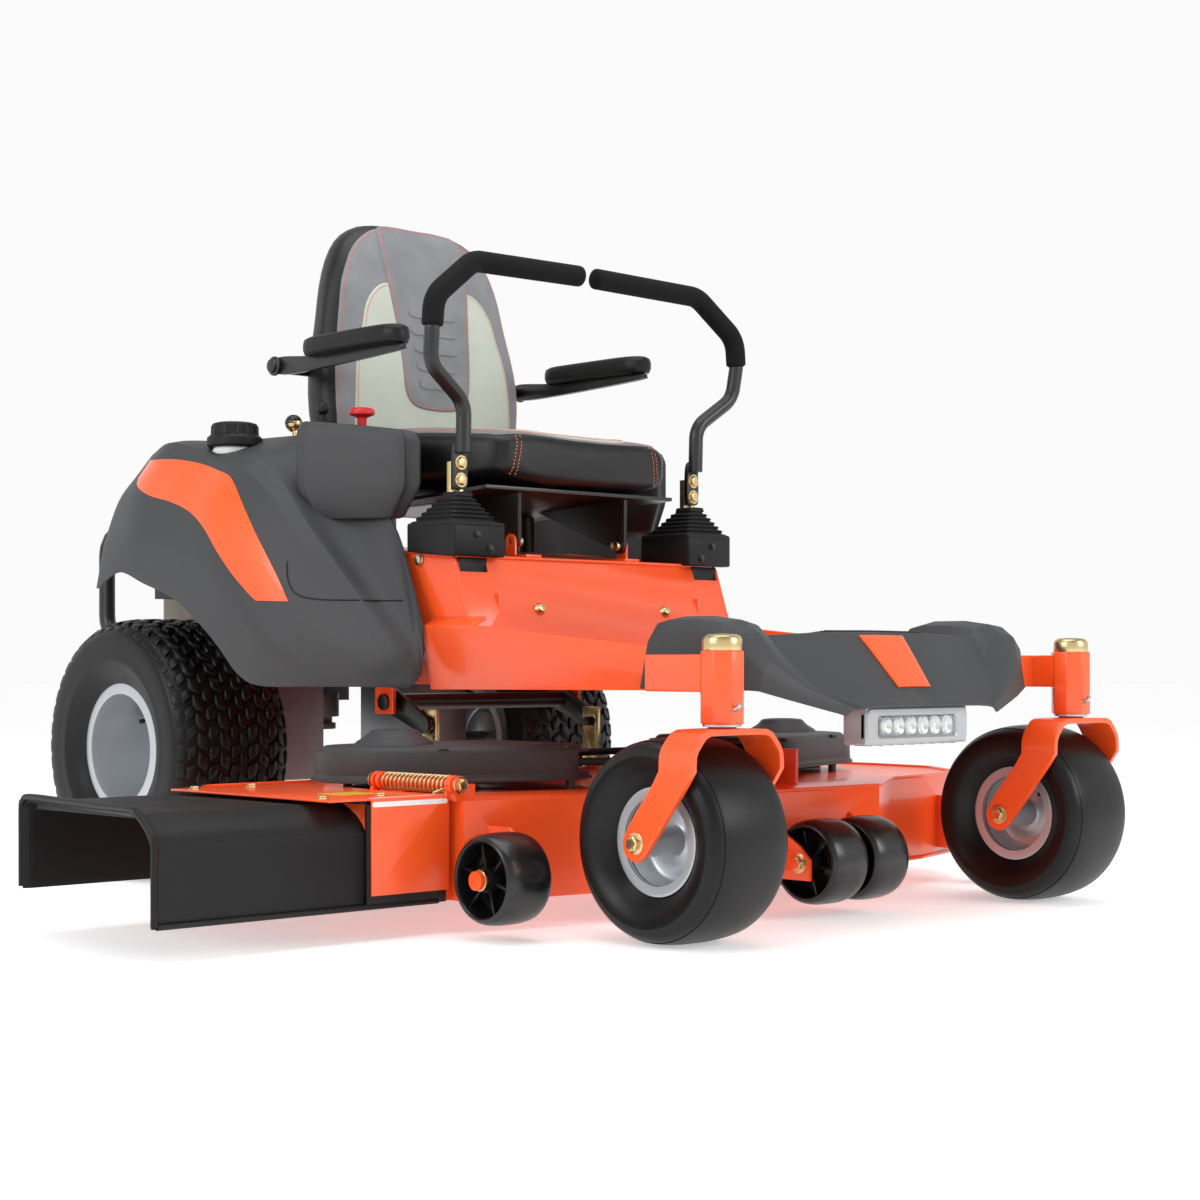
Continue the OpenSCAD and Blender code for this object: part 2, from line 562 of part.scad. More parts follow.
module belt_covers() color(grey) machine() both() {
  difference() {
    translate([0, 0, deck_top + 14]) linear_extrude(46) cover_plan(0);
    translate([0, 0, deck_top + 13]) linear_extrude(44) cover_plan(-3);
    block([-235, -950, deck_top + 10], [-140, -580, deck_top + 57]);
  }
  translate([-spin_x, side_y, deck_top + 60]) cylinder(h = 24, r1 = 52, r2 = 28);
  for (p = [[-spin_x, side_y - 118], [-250, -900.5], [-spin_x, side_y + 118], [-250, -609.5]])
    translate([p[0], p[1], deck_top])
    cylinder(h = 15, r = 7);
}
module spindle_housings() color("dimgray") machine()
  for (p = [[-spin_x, side_y], [0, mid_y], [spin_x, side_y]]) translate([p[0], p[1], 0]) difference() {
    union() {
      translate([0, 0, deck_top - 60]) cylinder(h = 60, r = 45.5);
      translate([0, 0, deck_top]) cylinder(h = 6, r = 70);
      translate([0, 0, deck_top + 6]) cylinder(h = 22, r = 40);
    }
    translate([0, 0, deck_top - 61]) cylinder(h = 100, r = shaft_r + run);
  }
module deck_belt() color(black) machine() translate([0, 0, pulley_z + 5]) linear_extrude(12) difference() {
  hull() for (p = [[-spin_x, side_y], [0, mid_y], [spin_x, side_y]]) translate(p) circle(r = pulley_r + 8.3);
  hull() for (p = [[-spin_x, side_y], [0, mid_y], [spin_x, side_y]]) translate(p) circle(r = pulley_r + gap);
}
module blade(x, y) color("dimgray") machine() translate([x, y, 0]) {
  translate([0, 0, deck_low + 17]) linear_extrude(6) intersection() {
    square([blade_len, 64], center = true);
    circle(r = blade_len / 2, $fn = 96);
  }
  for (a = [0, 180]) rotate(a) translate([blade_len / 2 - 120, 10, deck_low + 22])
    rotate([28, 0, 0]) cube([108, 34, 4]);
  translate([0, 0, deck_low + 5]) cylinder(h = 12, r = 14, $fn = 6);
  translate([0, 0, deck_low + 20]) cylinder(h = pulley_z + 26 - deck_low - 20, r = shaft_r);
  translate([0, 0, deck_low + 22]) cylinder(h = 30, r = 30);
  translate([0, 0, pulley_z]) cylinder(h = 22, r = pulley_r);
}
module chute_deflector() color(black) machine() {
  top = deck_top + 1;
  translate([0, 0, top]) linear_extrude(5) polygon([[-608, chute_front], [-chute_reach, chute_front],
    [-chute_reach + 45, -575], [-608, -575]]);
  slab(-chute_reach, chute_x - 4) polygon([[chute_front, 43], [chute_front + 5, 43], [chute_front + 5, top + 5],
    [chute_front, top + 5]]);
  slab(-chute_reach + 46, -700) polygon([[-580, 62], [-575, 62], [-575, top + 5], [-580, top + 5]]);
}
module chute_plate() color(orange) machine() {
  z = deck_top + 6;
  block([-770, chute_front, z], [chute_x - 4, -600, z + 3]);
  block([-700, chute_front - 3, 62], [chute_x - 4, chute_front, z + 3]);
  for (y = [chute_front - 8, -825]) difference() {
    union() {
      block([chute_x - 13, y, z], [chute_x - 4, y + 5, z + 8]);
      along(y, y + 5, chute_x, chute_z, 13);
    }
    along(y - 5, y + 15, chute_x, chute_z, chute_rod_r + run);
  }
}
module anti_scalp(x0, x1, y) color(black) machine() translate([0, y, roller_z]) rotate([0, 90, 0])
  rotate_extrude($fn = 72) polygon([[roller_bolt_r + run, x0], [roller_bolt_r + 8, x0], [roller_bolt_r + 8, x0 + 6],
    [roller_r - 12, x0 + 6], [roller_r - 8, x0], [roller_r, x0 + 16], [roller_r, x1 - 16], [roller_r - 8, x1],
    [roller_r - 12, x1 - 6], [roller_bolt_r + 8, x1 - 6], [roller_bolt_r + 8, x1], [roller_bolt_r + run, x1]]);

module centre_rollers() {
  anti_scalp(8, 88, mid_roller_y);
  anti_scalp(-88, -8, mid_roller_y);
}

// ---------- lift ----------
module lift_shaft() color(black) machine() translate([0, lift_y, lift_z]) {
  across(-rail_in - 10, rail_in + 10, 0, 0, 14);
  rotate([lift_angle, 0, 0]) both() {
    slab(link_x + 2, link_x + 10) difference() {
      union() {
        circle(r = 22);
        translate([-lift_arm, 0]) circle(r = 15);
        polygon([[0, 22], [0, -22], [-lift_arm, -15], [-lift_arm, 15]]);
      }
    }
    across(link_x - 12, link_x + 2, -lift_arm, 0, lift_pin_r);
  }
}
module deck_links() color(zinc) machine() both() slab(link_x - 6, link_x) difference() {
  polygon([[lift_y - lift_arm - 16, deck_top], [lift_y - lift_arm + 24, deck_top], [lift_y - lift_arm + 24, 300],
    [lift_y - lift_arm - 16, 300]]);
  translate([lift_y - lift_arm * cos(lift_angle) - 9, lift_z - lift_arm * sin(lift_angle)]) {
    translate([0, -lift_pin_r - 2]) square([18, 2 * lift_pin_r + 4]);
    circle(r = lift_pin_r + 2);
    translate([18, 0]) circle(r = lift_pin_r + 2);
  }
}

frame_rails();
front_beam();
caster_caps();
floor_pan();
seat_box();
engine_deck();
engine_guard();
foot_cover();
headlight();
left_fender();
right_fender();
consoles();
fuel_tank();
boot_bases();
engine();
transaxles();
battery();
body_bolts();
boot(0);  // left_boot
boot(1);  // right_boot
fuel_cap();
pto_knob();
throttle_lever();
height_lever();
seat_pan();
seat_cushion();
seat_back();
armrest(0);  // left_armrest
armrest(1);  // right_armrest
lap_bar(0);  // left_lap_bar
lap_bar(1);  // right_lap_bar
grip(0);  // left_grip
grip(1);  // right_grip
control_arm(0);  // left_control_arm
control_arm(1);  // right_control_arm
rear_tyre(0);  // left_rear_tyre
rear_tyre(1);  // right_rear_tyre
rear_rim(0);  // left_rear_rim
rear_rim(1);  // right_rear_rim
fork(0);  // left_fork
fork(1);  // right_fork
caster_tyre(0);  // left_caster_tyre
caster_tyre(1);  // right_caster_tyre
caster_rim(0);  // left_caster_rim
caster_rim(1);  // right_caster_rim
deck_shell();
belt_covers();
spindle_housings();
deck_belt();
blade(spin_x, side_y);  // left_blade
blade(0, mid_y);  // centre_blade
blade(-spin_x, side_y);  // right_blade
chute_deflector();
chute_plate();
anti_scalp(522, 602, side_roller[1]);  // left_roller
anti_scalp(-602, -522, side_roller[1]);  // right_roller
centre_rollers();
lift_shaft();
deck_links();
clutch_pulley();
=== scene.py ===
import json
import math

import bmesh
import bpy
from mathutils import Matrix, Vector
from mathutils.bvhtree import BVHTree

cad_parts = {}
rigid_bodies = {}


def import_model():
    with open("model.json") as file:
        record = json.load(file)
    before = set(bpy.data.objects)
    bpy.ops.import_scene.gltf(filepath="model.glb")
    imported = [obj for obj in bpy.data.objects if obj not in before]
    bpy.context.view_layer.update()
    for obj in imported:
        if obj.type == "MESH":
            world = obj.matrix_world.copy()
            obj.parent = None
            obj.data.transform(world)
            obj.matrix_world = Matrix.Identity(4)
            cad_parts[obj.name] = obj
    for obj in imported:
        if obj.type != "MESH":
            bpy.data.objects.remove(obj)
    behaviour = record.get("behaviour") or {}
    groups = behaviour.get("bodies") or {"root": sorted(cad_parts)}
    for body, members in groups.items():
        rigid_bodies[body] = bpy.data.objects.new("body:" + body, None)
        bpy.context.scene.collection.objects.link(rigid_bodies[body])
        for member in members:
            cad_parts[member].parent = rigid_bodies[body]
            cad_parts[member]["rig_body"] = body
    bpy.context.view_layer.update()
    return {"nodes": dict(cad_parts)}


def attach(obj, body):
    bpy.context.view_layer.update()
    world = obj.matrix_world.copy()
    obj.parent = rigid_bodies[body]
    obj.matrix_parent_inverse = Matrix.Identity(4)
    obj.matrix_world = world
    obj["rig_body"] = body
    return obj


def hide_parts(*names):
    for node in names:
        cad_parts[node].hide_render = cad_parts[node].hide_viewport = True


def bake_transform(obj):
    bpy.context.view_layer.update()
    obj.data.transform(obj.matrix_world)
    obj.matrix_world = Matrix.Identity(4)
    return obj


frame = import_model()

# ---------- camera ----------
# Low three-quarter view from the operator's front right, level with the caster forks, through a
# 66 mm lens. The machine's own places are counted in millimetres from the rear axle's middle.
CENTRE_X, AXLE_Y = 172.5, 474.5


def at(x, y, z):
    """A place on the machine, in millimetres from the rear axle's middle, as a point in the frame."""
    return Vector(((x + CENTRE_X) / 1000, (y + AXLE_Y) / 1000, z / 1000))


camera = bpy.data.objects.new("camera", bpy.data.cameras.new("camera"))
bpy.context.scene.collection.objects.link(camera)
bpy.context.scene.camera = camera
camera.data.lens = 66.03
camera.data.sensor_width = 36
camera.data.shift_y = 0.0501
camera.location = at(-2542.7, -3365.1, 383.4)
camera.rotation_euler = (math.radians(90), 0, math.radians(-43.7))

# ---------- studio ----------
# A pale seamless floor inside a white surround that darkens overhead, with a broad soft light
# above, one from the front left and one from the front right.


def linear(code):
    """sRGB hex code as linear RGBA."""
    parts = [int(code[i:i + 2], 16) / 255 for i in (1, 3, 5)]
    return tuple(p / 12.92 if p <= 0.04045 else ((p + 0.055) / 1.055) ** 2.4 for p in parts) + (1,)


def add(tree, kind, settings=None, links=None):
    """Adds a shader node, sets its sockets or options, and links what feeds it."""
    node = tree.nodes.new("ShaderNode" + kind)
    for key, value in (settings or {}).items():
        if isinstance(key, int) or key in node.inputs:
            node.inputs[key].default_value = value
        else:
            setattr(node, key, value)
    for key, source in (links or {}).items():
        tree.links.new(source, node.inputs[key])
    return node


def new_finish(name, slot, shader):
    """An empty material with its main shader set, and the tree, shader and place to build on."""
    finish = bpy.data.materials.new(name)
    finish.use_nodes = True
    finish["slot"] = slot
    tree = finish.node_tree
    main = tree.nodes["Principled BSDF"]
    for key, value in shader.items():
        main.inputs[key].default_value = value
    place = add(tree, "TexCoord").outputs["Object"]
    return finish, tree, main, place


def mottle(tree, main, place, colours, size_mm, detail=3):
    """Colour that drifts between two close shades over patches of a real size."""
    patch = add(tree, "TexNoise", {"Scale": 1000 / size_mm, "Detail": detail}, {"Vector": place})
    mix = add(tree, "Mix", {"data_type": "RGBA"}, {"Factor": patch.outputs["Fac"]})
    mix.inputs[6].default_value = linear(colours[0])
    mix.inputs[7].default_value = linear(colours[1])
    tree.links.new(mix.outputs[2], main.inputs["Base Color"])
    return patch, mix


def relief(tree, main, height, distance_mm, strength=1.0):
    """Surface relief from a pattern's height."""
    bump = add(tree, "Bump", {"Strength": strength, "Distance": distance_mm / 1000}, {"Height": height})
    tree.links.new(bump.outputs["Normal"], main.inputs["Normal"])
    return bump


def sheen_change(tree, main, pattern, low, high):
    """Roughness that runs from low to high with a pattern."""
    spread = add(tree, "MapRange", {"To Min": low, "To Max": high}, {"Value": pattern})
    tree.links.new(spread.outputs["Result"], main.inputs["Roughness"])


floor_paint, tree, main, place = new_finish("matt_studio_floor", "", {
    "Roughness": 0.55, "Specular IOR Level": 0.25, "Emission Color": (1, 1, 1, 1), "Emission Strength": 0.42})
mottle(tree, main, place, ("#f3f3f3", "#f6f6f6"), 900)
floor_mesh = bpy.data.meshes.new("floor")
floor_mesh.from_pydata([(-30, -30, 0), (30, -30, 0), (30, 30, 0), (-30, 30, 0)], [], [(0, 1, 2, 3)])
floor = bpy.data.objects.new("floor", floor_mesh)
bpy.context.scene.collection.objects.link(floor)
floor.data.materials.append(floor_paint)
world = bpy.data.worlds.new("studio")
world.use_nodes = True
world.node_tree.nodes["Background"].inputs["Color"].default_value = linear("#fbfbfb")
sky = add(world.node_tree, "TexCoord")
height = add(world.node_tree, "SeparateXYZ", {}, {"Vector": sky.outputs["Generated"]})
falloff = add(world.node_tree, "MapRange", {"From Min": 0.3, "From Max": 0.75, "To Min": 1.0, "To Max": 0.4},
              {"Value": height.outputs["Z"]})
world.node_tree.links.new(falloff.outputs["Result"], world.node_tree.nodes["Background"].inputs["Strength"])
bpy.context.scene.world = world
bpy.context.scene.view_settings.view_transform = "Standard"


def soft_light(name, place, aim, size, power):
    """A square soft box at a place, turned to its aim."""
    lamp = bpy.data.lights.new(name, "AREA")
    lamp.energy = power
    lamp.size = size
    box = bpy.data.objects.new(name, lamp)
    box.location = place
    box.rotation_euler = (aim - place).to_track_quat("-Z", "Y").to_euler()
    bpy.context.scene.collection.objects.link(box)


soft_light("overhead", at(-300, -900, 3600), at(0, -500, 300), 3.2, 75)
soft_light("front_left", at(-3300, -600, 2000), at(0, -500, 500), 1.6, 36)
soft_light("front_right", at(1300, -4200, 1900), at(0, -700, 500), 1.6, 44)

# ---------- main frame ----------
# Two boxed steel rails with the side plates welded outside them, the tube across the front that
# carries the caster spindles, and the pressed floor. All of it is powder-coated orange.


def settle(obj):
    """Applies what is stacked on a mesh, so that the final shape is the mesh itself."""
    graph = bpy.context.evaluated_depsgraph_get()
    mesh = bpy.data.meshes.new_from_object(obj.evaluated_get(graph))
    obj.modifiers.clear()
    obj.data = mesh
    return obj


def soften(obj, width_mm, segments=2, angle=32):
    """Breaks the edges of a mesh as sheet metal and mouldings have them, and shades it."""
    if width_mm:
        edge = obj.modifiers.new("edge", "BEVEL")
        edge.width = width_mm / 1000
        edge.segments = segments
        edge.limit_method = "ANGLE"
        edge.angle_limit = math.radians(angle)
        settle(obj)
    obj.data.shade_smooth()
    obj.data.set_sharp_from_angle(angle=math.radians(angle))
    return obj


def new_mesh(name, points, faces):
    """An object from corner points in the frame, with its faces turned outward."""
    mesh = bpy.data.meshes.new(name)
    mesh.from_pydata([tuple(p) for p in points], [], faces)
    shape = bmesh.new()
    shape.from_mesh(mesh)
    bmesh.ops.remove_doubles(shape, verts=shape.verts, dist=1e-6)
    bmesh.ops.recalc_face_normals(shape, faces=shape.faces)
    shape.to_mesh(mesh)
    shape.free()
    obj = bpy.data.objects.new(name, mesh)
    bpy.context.scene.collection.objects.link(obj)
    return obj


def fit(obj, body, finish, *nodes):
    """Gives a piece its finish and fixes it to a body, in place of the plain nodes it stands for."""
    obj.data.materials.clear()
    obj.data.materials.append(finish)
    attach(obj, body)
    if nodes:
        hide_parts(*nodes)
    return obj


def finished(name, node, finish, width_mm=1.2, angle=32):
    """A CAD piece with the broken edges and the finish that the real one has."""
    plain = frame["nodes"][node]
    obj = bpy.data.objects.new(name, plain.data.copy())
    bpy.context.scene.collection.objects.link(obj)
    shape = bmesh.new()
    shape.from_mesh(obj.data)
    bmesh.ops.remove_doubles(shape, verts=shape.verts, dist=1e-5)
    bmesh.ops.dissolve_limit(shape, angle_limit=math.radians(1), verts=shape.verts, edges=shape.edges)
    shape.to_mesh(obj.data)
    shape.free()
    soften(obj, width_mm, angle=angle)
    return fit(obj, plain["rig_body"], finish, node)


# Powder coat on steel: even colour, a fine orange-peel skin about 2 mm across and a clear gloss.
orange_coat, tree, main, place = new_finish("orange_powder_coat", "orange_paint", {
    "Roughness": 0.34, "Coat Weight": 0.35, "Coat Roughness": 0.12})
patch, mix = mottle(tree, main, place, ("#f7521a", "#fa5c20"), 120)
peel = add(tree, "TexNoise", {"Scale": 1000 / 2.2, "Detail": 2}, {"Vector": place})
relief(tree, main, peel.outputs["Fac"], 0.05, 0.35)
sheen_change(tree, main, patch.outputs["Fac"], 0.3, 0.4)

# Satin black powder coat, the same skin with less gloss.
black_coat, tree, main, place = new_finish("black_powder_coat", "black_paint", {
    "Roughness": 0.38, "Coat Weight": 0.15, "Coat Roughness": 0.2})
patch, mix = mottle(tree, main, place, ("#0c0c0c", "#111111"), 90)
peel = add(tree, "TexNoise", {"Scale": 1000 / 1.8, "Detail": 2}, {"Vector": place})
relief(tree, main, peel.outputs["Fac"], 0.05, 0.35)
sheen_change(tree, main, patch.outputs["Fac"], 0.32, 0.44)

# Yellow zinc plate on steel: a pale brass metal with the faint rainbow drift of the passivation.
zinc_plate, tree, main, place = new_finish("yellow_zinc_plate", "zinc_steel", {"Metallic": 1.0})
patch, mix = mottle(tree, main, place, ("#cfb277", "#d6c49a"), 14, 4)
sheen_change(tree, main, patch.outputs["Fac"], 0.2, 0.34)
pits = add(tree, "TexNoise", {"Scale": 1000 / 0.8, "Detail": 3}, {"Vector": place})
relief(tree, main, pits.outputs["Fac"], 0.03, 0.3)

finished("main_rails", "frame_rails", orange_coat, 1.5)
finished("caster_beam", "front_beam", orange_coat, 2.0)
finished("floor_plate", "floor_pan", orange_coat, 1.0)
finished("hardware", "body_bolts", zinc_plate, 0.8)

# ---------- seat ----------
# Moulded foam in a sewn vinyl cover on a black steel pan: grained mid-grey and pale green-grey
# panels on the face, smooth black vinyl round the sides and back, all top-stitched in orange.


def spline(points, parts, closed=False):
    """A smooth curve through the points, with the given number of parts between each two."""
    points = [Vector(p) for p in points]
    if closed:
        ends = [points[-1]] + points + points[:2]
    else:
        ends = [2 * points[0] - points[1]] + points + [2 * points[-1] - points[-2]]
    curve = []
    for a, b, c, d in zip(ends, ends[1:], ends[2:], ends[3:]):
        for i in range(parts):
            t = i / parts
            curve.append(0.5 * (2 * b + (c - a) * t + (2 * a - 5 * b + 4 * c - d) * t ** 2
                                + (3 * b - a - 3 * c + d) * t ** 3))
    return curve if closed else curve + [points[-1]]


def loft(name, rings):
    """A closed body through rings of points that all have the same number of points."""
    count = len(rings[0])
    faces = [[i * count + k, i * count + (k + 1) % count, (i + 1) * count + (k + 1) % count,
              (i + 1) * count + k]
             for i in range(len(rings) - 1) for k in range(count)]
    faces += [list(range(count)), [(len(rings) - 1) * count + k for k in range(count)]]
    return new_mesh(name, [p for ring in rings for p in ring], faces)


def section(half_width, low, high, hollow, square=3.0, count=56):
    """One slice through a pad, as (across, depth): flat-sided, rounded, with a face that dips in the middle."""
    slice_points = []
    for i in range(count):
        turn = 2 * math.pi * i / count
        c, s = math.cos(turn), math.sin(turn)
        across = math.copysign(abs(c) ** (2 / square), c)
        depth = math.copysign(abs(s) ** (2 / square), s)
        dip = hollow * (1 - across ** 2) * max(0, depth)
        slice_points.append((half_width * across, (low + high) / 2 + (high - low) / 2 * depth - dip))
    return slice_points


def puff(obj, pressure, cap_mm):
    """Fills a cover with foam: cloth under pressure, no point moving further than the cap."""
    start = [v.co.copy() for v in obj.data.vertices]
    cloth = obj.modifiers.new("cloth", "CLOTH")
    cloth.settings.use_pressure = True
    cloth.settings.uniform_pressure_force = pressure
    cloth.settings.tension_stiffness = cloth.settings.compression_stiffness = 25
    cloth.settings.effector_weights.gravity = 0
    cloth.point_cache.frame_start, cloth.point_cache.frame_end = 1, 20
    for number in range(1, 21):
        bpy.context.scene.frame_set(number)
    settle(obj)
    for vertex, rest in zip(obj.data.vertices, start):
        move = vertex.co - rest
        if move.length > cap_mm / 1000:
            vertex.co = rest + move.normalized() * cap_mm / 1000
    bpy.context.scene.frame_set(1)
    return obj


def skin_of(obj):
    """What a panel is laid on: a search tree of a finished body."""
    shape = bmesh.new()
    shape.from_mesh(obj.data)
    tree_of_faces = BVHTree.FromBMesh(shape)
    shape.free()
    return tree_of_faces


def lay(skin, point, way, lift_mm):
    """The place where a point meets the body along a way, raised off it; None where it misses."""
    hit, normal, _, _ = skin.ray_cast(point - way, way)
    if hit is None:
        hit, normal, _, _ = skin.find_nearest(point)
    if normal.dot(way) > 0:
        normal = -normal
    return hit + normal * lift_mm / 1000


RINGS = (1, 0.99, 0.975, 0.95, 0.9, 0.8, 0.65, 0.5, 0.35, 0.2, 0.08)


def panel(name, skin, outline, place_of, way, lift_mm, finish, body):
    """One sewn panel: a closed outline laid on the body, its edges turned down into the seam."""
    edge = spline([Vector((u, v, 0)) for u, v in outline], 8, closed=True)
    middle = sum(edge, Vector()) / len(edge)
    points, faces, count = [], [], len(edge)
    for r, share in enumerate(RINGS):
        rise = lift_mm * (0.0, 0.75, 1.0)[min(r, 2)] - (0.8 if r == 0 else 0)
        for p in edge:
            flat = middle + (p - middle) * share
            points.append(lay(skin, place_of(flat.x, flat.y), way, rise))
    points.append(lay(skin, place_of(middle.x, middle.y), way, lift_mm))
    for r in range(len(RINGS) - 1):
        for k in range(count):
            faces.append([r * count + k, r * count + (k + 1) % count, (r + 1) * count + (k + 1) % count,
                          (r + 1) * count + k])
    last = (len(RINGS) - 1) * count
    faces += [[last + k, last + (k + 1) % count, len(points) - 1] for k in range(count)]
    obj = new_mesh(name, points, faces)
    if obj.data.polygons[0].normal.dot(way) > 0:
        obj.data.flip_normals()
    soften(obj, 0, angle=60)
    return fit(obj, body, finish), edge


def sew(name, lines, finish, body, pitch_mm=6.0, thread_mm=0.9):
    """Top stitching: short raised threads at even steps along each line of the list."""
    points, faces = [], []
    for line in lines:
        walked, due = 0.0, 0.0
        for a, b in zip(line, line[1:]):
            step = (b - a).length * 1000
            while step > 1e-6 and due <= walked + step:
                spot = a + (b - a) * (due - walked) / step
                along_thread = (b - a).normalized() * 0.00185
                side = along_thread.orthogonal().normalized() * thread_mm / 1000
                third = along_thread.cross(side).normalized() * thread_mm / 1000
                base = len(points)
                for reach, swell in ((-1, 0.35), (-0.6, 1), (0.6, 1), (1, 0.35)):
                    for k in range(6):
                        turn = k * math.pi / 3
                        points.append(spot + along_thread * reach
                                      + (side * math.cos(turn) + third * math.sin(turn)) * swell)
                for r in range(3):
                    faces += [[base + r * 6 + k, base + r * 6 + (k + 1) % 6, base + (r + 1) * 6 + (k + 1) % 6,
                               base + (r + 1) * 6 + k] for k in range(6)]
                faces += [[base + k for k in range(6)], [base + 18 + k for k in range(6)]]
                due += pitch_mm
            walked += step
    mesh = bpy.data.meshes.new(name)
    mesh.from_pydata([tuple(p) for p in points], [], faces)
    obj = bpy.data.objects.new(name, mesh)
    bpy.context.scene.collection.objects.link(obj)
    obj.data.shade_smooth()
    return fit(obj, body, finish)


def inset(edge, by_mm):
    """A closed flat outline moved inward by a distance."""
    count = len(edge)
    middle = sum(edge, Vector()) / count
    moved = []
    for i in range(count):
        run = (edge[(i + 1) % count] - edge[i - 1]).normalized()
        side = Vector((-run.y, run.x, 0))
        if side.dot(middle - edge[i]) < 0:
            side = -side
        moved.append(edge[i] + side * by_mm)
    return moved + [moved[0]]


def vinyl(name, colours, roughness, grain_mm, crease):
    """Coated vinyl: a pebble grain pressed into the coat, with soft creases where it has been sat on."""
    finish, tree, main, place = new_finish(name, "seat_vinyl", {
        "Coat Weight": 0.05, "Coat Roughness": 0.35, "Specular IOR Level": 0.35})
    patch, mix = mottle(tree, main, place, colours, 45, 5)
    sheen_change(tree, main, patch.outputs["Fac"], roughness - 0.05, roughness + 0.08)
    grain = add(tree, "TexVoronoi", {"Scale": 1000 / grain_mm}, {"Vector": place})
    folds = add(tree, "TexNoise", {"Scale": 1000 / 16, "Detail": 5, "Distortion": 1.5}, {"Vector": place})
    both = add(tree, "Math", {"operation": "MULTIPLY_ADD", 1: crease},
               {0: folds.outputs["Fac"], 2: grain.outputs["Distance"]})
    relief(tree, main, both.outputs["Value"], 0.35, 0.5)
    return finish


grey_vinyl = vinyl("grained_grey_vinyl", ("#6a6b6e", "#8a8b8f"), 0.5, 1.6, 2.2)
pale_vinyl = vinyl("grained_pale_vinyl", ("#b0b5a9", "#c0c4b9"), 0.48, 1.6, 2.6)
black_vinyl = vinyl("smooth_black_vinyl", ("#0d0d0d", "#121213"), 0.36, 1.0, 0.8)
thread, tree, main, place = new_finish("orange_thread", "seat_vinyl",
                                       {"Roughness": 0.75, "Sheen Weight": 0.2})
mottle(tree, main, place, ("#d9673a", "#e87b4a"), 5)

# Back: widest at the elbows, leaning about 8 degrees, about 130 mm thick below the shoulders.
BACK = ((700, 172, -272, -176), (716, 196, -282, -164), (760, 216, -288, -156), (820, 228, -288, -152),
        (890, 230, -282, -150), (950, 220, -272, -147), (1000, 210, -263, -142), (1050, 200, -254, -138),
        (1100, 184, -245, -134), (1140, 158, -234, -132), (1163, 128, -222, -132), (1174, 94, -206, -138))
rings = []
for z, half, front, rear in BACK:
    rings.append([at(x, -y, z) for x, y in section(half, -rear, -front, 10)])
back = puff(loft("seat_back_foam", rings), 3.0, 6)
swell = back.modifiers.new("round", "SUBSURF")
swell.levels = 1
soften(settle(back), 0, angle=70)
fit(back, "seat", black_vinyl, "seat_back")
back_skin = skin_of(back)
REARWARD = Vector((0, 1, 0))


def on_back(x, z):
    """A place in front of the backrest."""
    return at(x, -400, z)


FACE = ((0, 1168), (74, 1166), (116, 1152), (154, 1118), (178, 1066), (190, 1005), (200, 950), (209, 890),
        (209, 820), (198, 745), (152, 722), (0, 718))
WING = ((0, 1060), (62, 1062), (110, 1056), (142, 1022), (156, 975), (170, 920), (177, 850), (176, 785),
        (156, 740), (96, 730), (0, 728))
BIB = ((0, 1169), (60, 1169), (92, 1160), (98, 1120), (92, 1050), (84, 980), (78, 910), (72, 862),
       (50, 838), (0, 832))


def mirrored(half):
    """A whole outline from its right half, whose first and last points lie on the centre line."""
    return list(half) + [(-x, y) for x, y in reversed(half) if x]


seams = []
for name, half, rise, finish in (("back_face_panel", FACE, 1.6, grey_vinyl),
                                 ("back_pale_panel", WING, 3.0, pale_vinyl),
                                 ("back_centre_panel", BIB, 4.6, grey_vinyl)):
    _, edge = panel(name, back_skin, mirrored(half), on_back, REARWARD, rise, finish, "seat")
    seams.append([lay(back_skin, on_back(p.x, p.y), REARWARD, rise + 0.3) for p in inset(edge, 6)])
for number, (z, half) in enumerate(((1010, 50), (978, 48), (946, 45), (914, 42), (882, 38))):
    bar = ((-half, z - 8), (-half, z + 8), (0, z + 9), (half, z + 8), (half, z - 8), (0, z - 9))
    panel(f"back_rib_{number}", back_skin, bar, on_back, REARWARD, 6.6, grey_vinyl, "seat")
sew("back_stitching", seams, thread, "seat")

# Cushion: 95 mm of foam, wider at the rear, its front boxed in black vinyl with two upright seams.
CUSHION = ((-286, 205, 676, 768), (-296, 232, 668, 780), (-340, 240, 664, 786), (-420, 238, 664, 784),
           (-500, 230, 667, 780), (-580, 216, 670, 776), (-640, 203, 673, 772), (-668, 190, 677, 766),
           (-682, 172, 690, 752))
rings = []
for y, half, low, high in CUSHION:
    rings.append([at(x, y, z) for x, z in section(half, low, high, 7, 4.2)])
cushion = puff(loft("seat_cushion_foam", rings), 2.5, 5)
swell = cushion.modifiers.new("round", "SUBSURF")
swell.levels = 1
soften(settle(cushion), 0, angle=70)
fit(cushion, "seat", black_vinyl, "seat_cushion")
cushion_skin = skin_of(cushion)
DOWN = Vector((0, 0, -1))


def on_cushion(x, y):
    """A place above the seat cushion."""
    return at(x, y, 900)


seams = []
TOP = ((0, -672), (100, -670), (172, -660), (190, -630), (204, -560), (218, -470), (226, -380), (220, -300),
       (0, -296))
CENTRE = ((0, -669), (80, -668), (104, -655), (110, -600), (118, -500), (122, -400), (118, -320), (0, -312))
for name, half, rise, finish in (("cushion_top_panel", TOP, 1.6, grey_vinyl),
                                 ("cushion_pale_panel", CENTRE, 3.0, pale_vinyl)):
    _, edge = panel(name, cushion_skin, mirrored(half), on_cushion, DOWN, rise, finish, "seat")
    seams.append([lay(cushion_skin, on_cushion(p.x, p.y), DOWN, rise + 0.3) for p in inset(edge, 6)])
for side in (-1, 1):
    for offset in (0, 9):
        seams.append([lay(cushion_skin, at(side * (148 + offset + 12 * (1 - t / 10)), -760, 688 + 7.6 * t),
                          REARWARD, 0.5)
                      for t in range(11)])
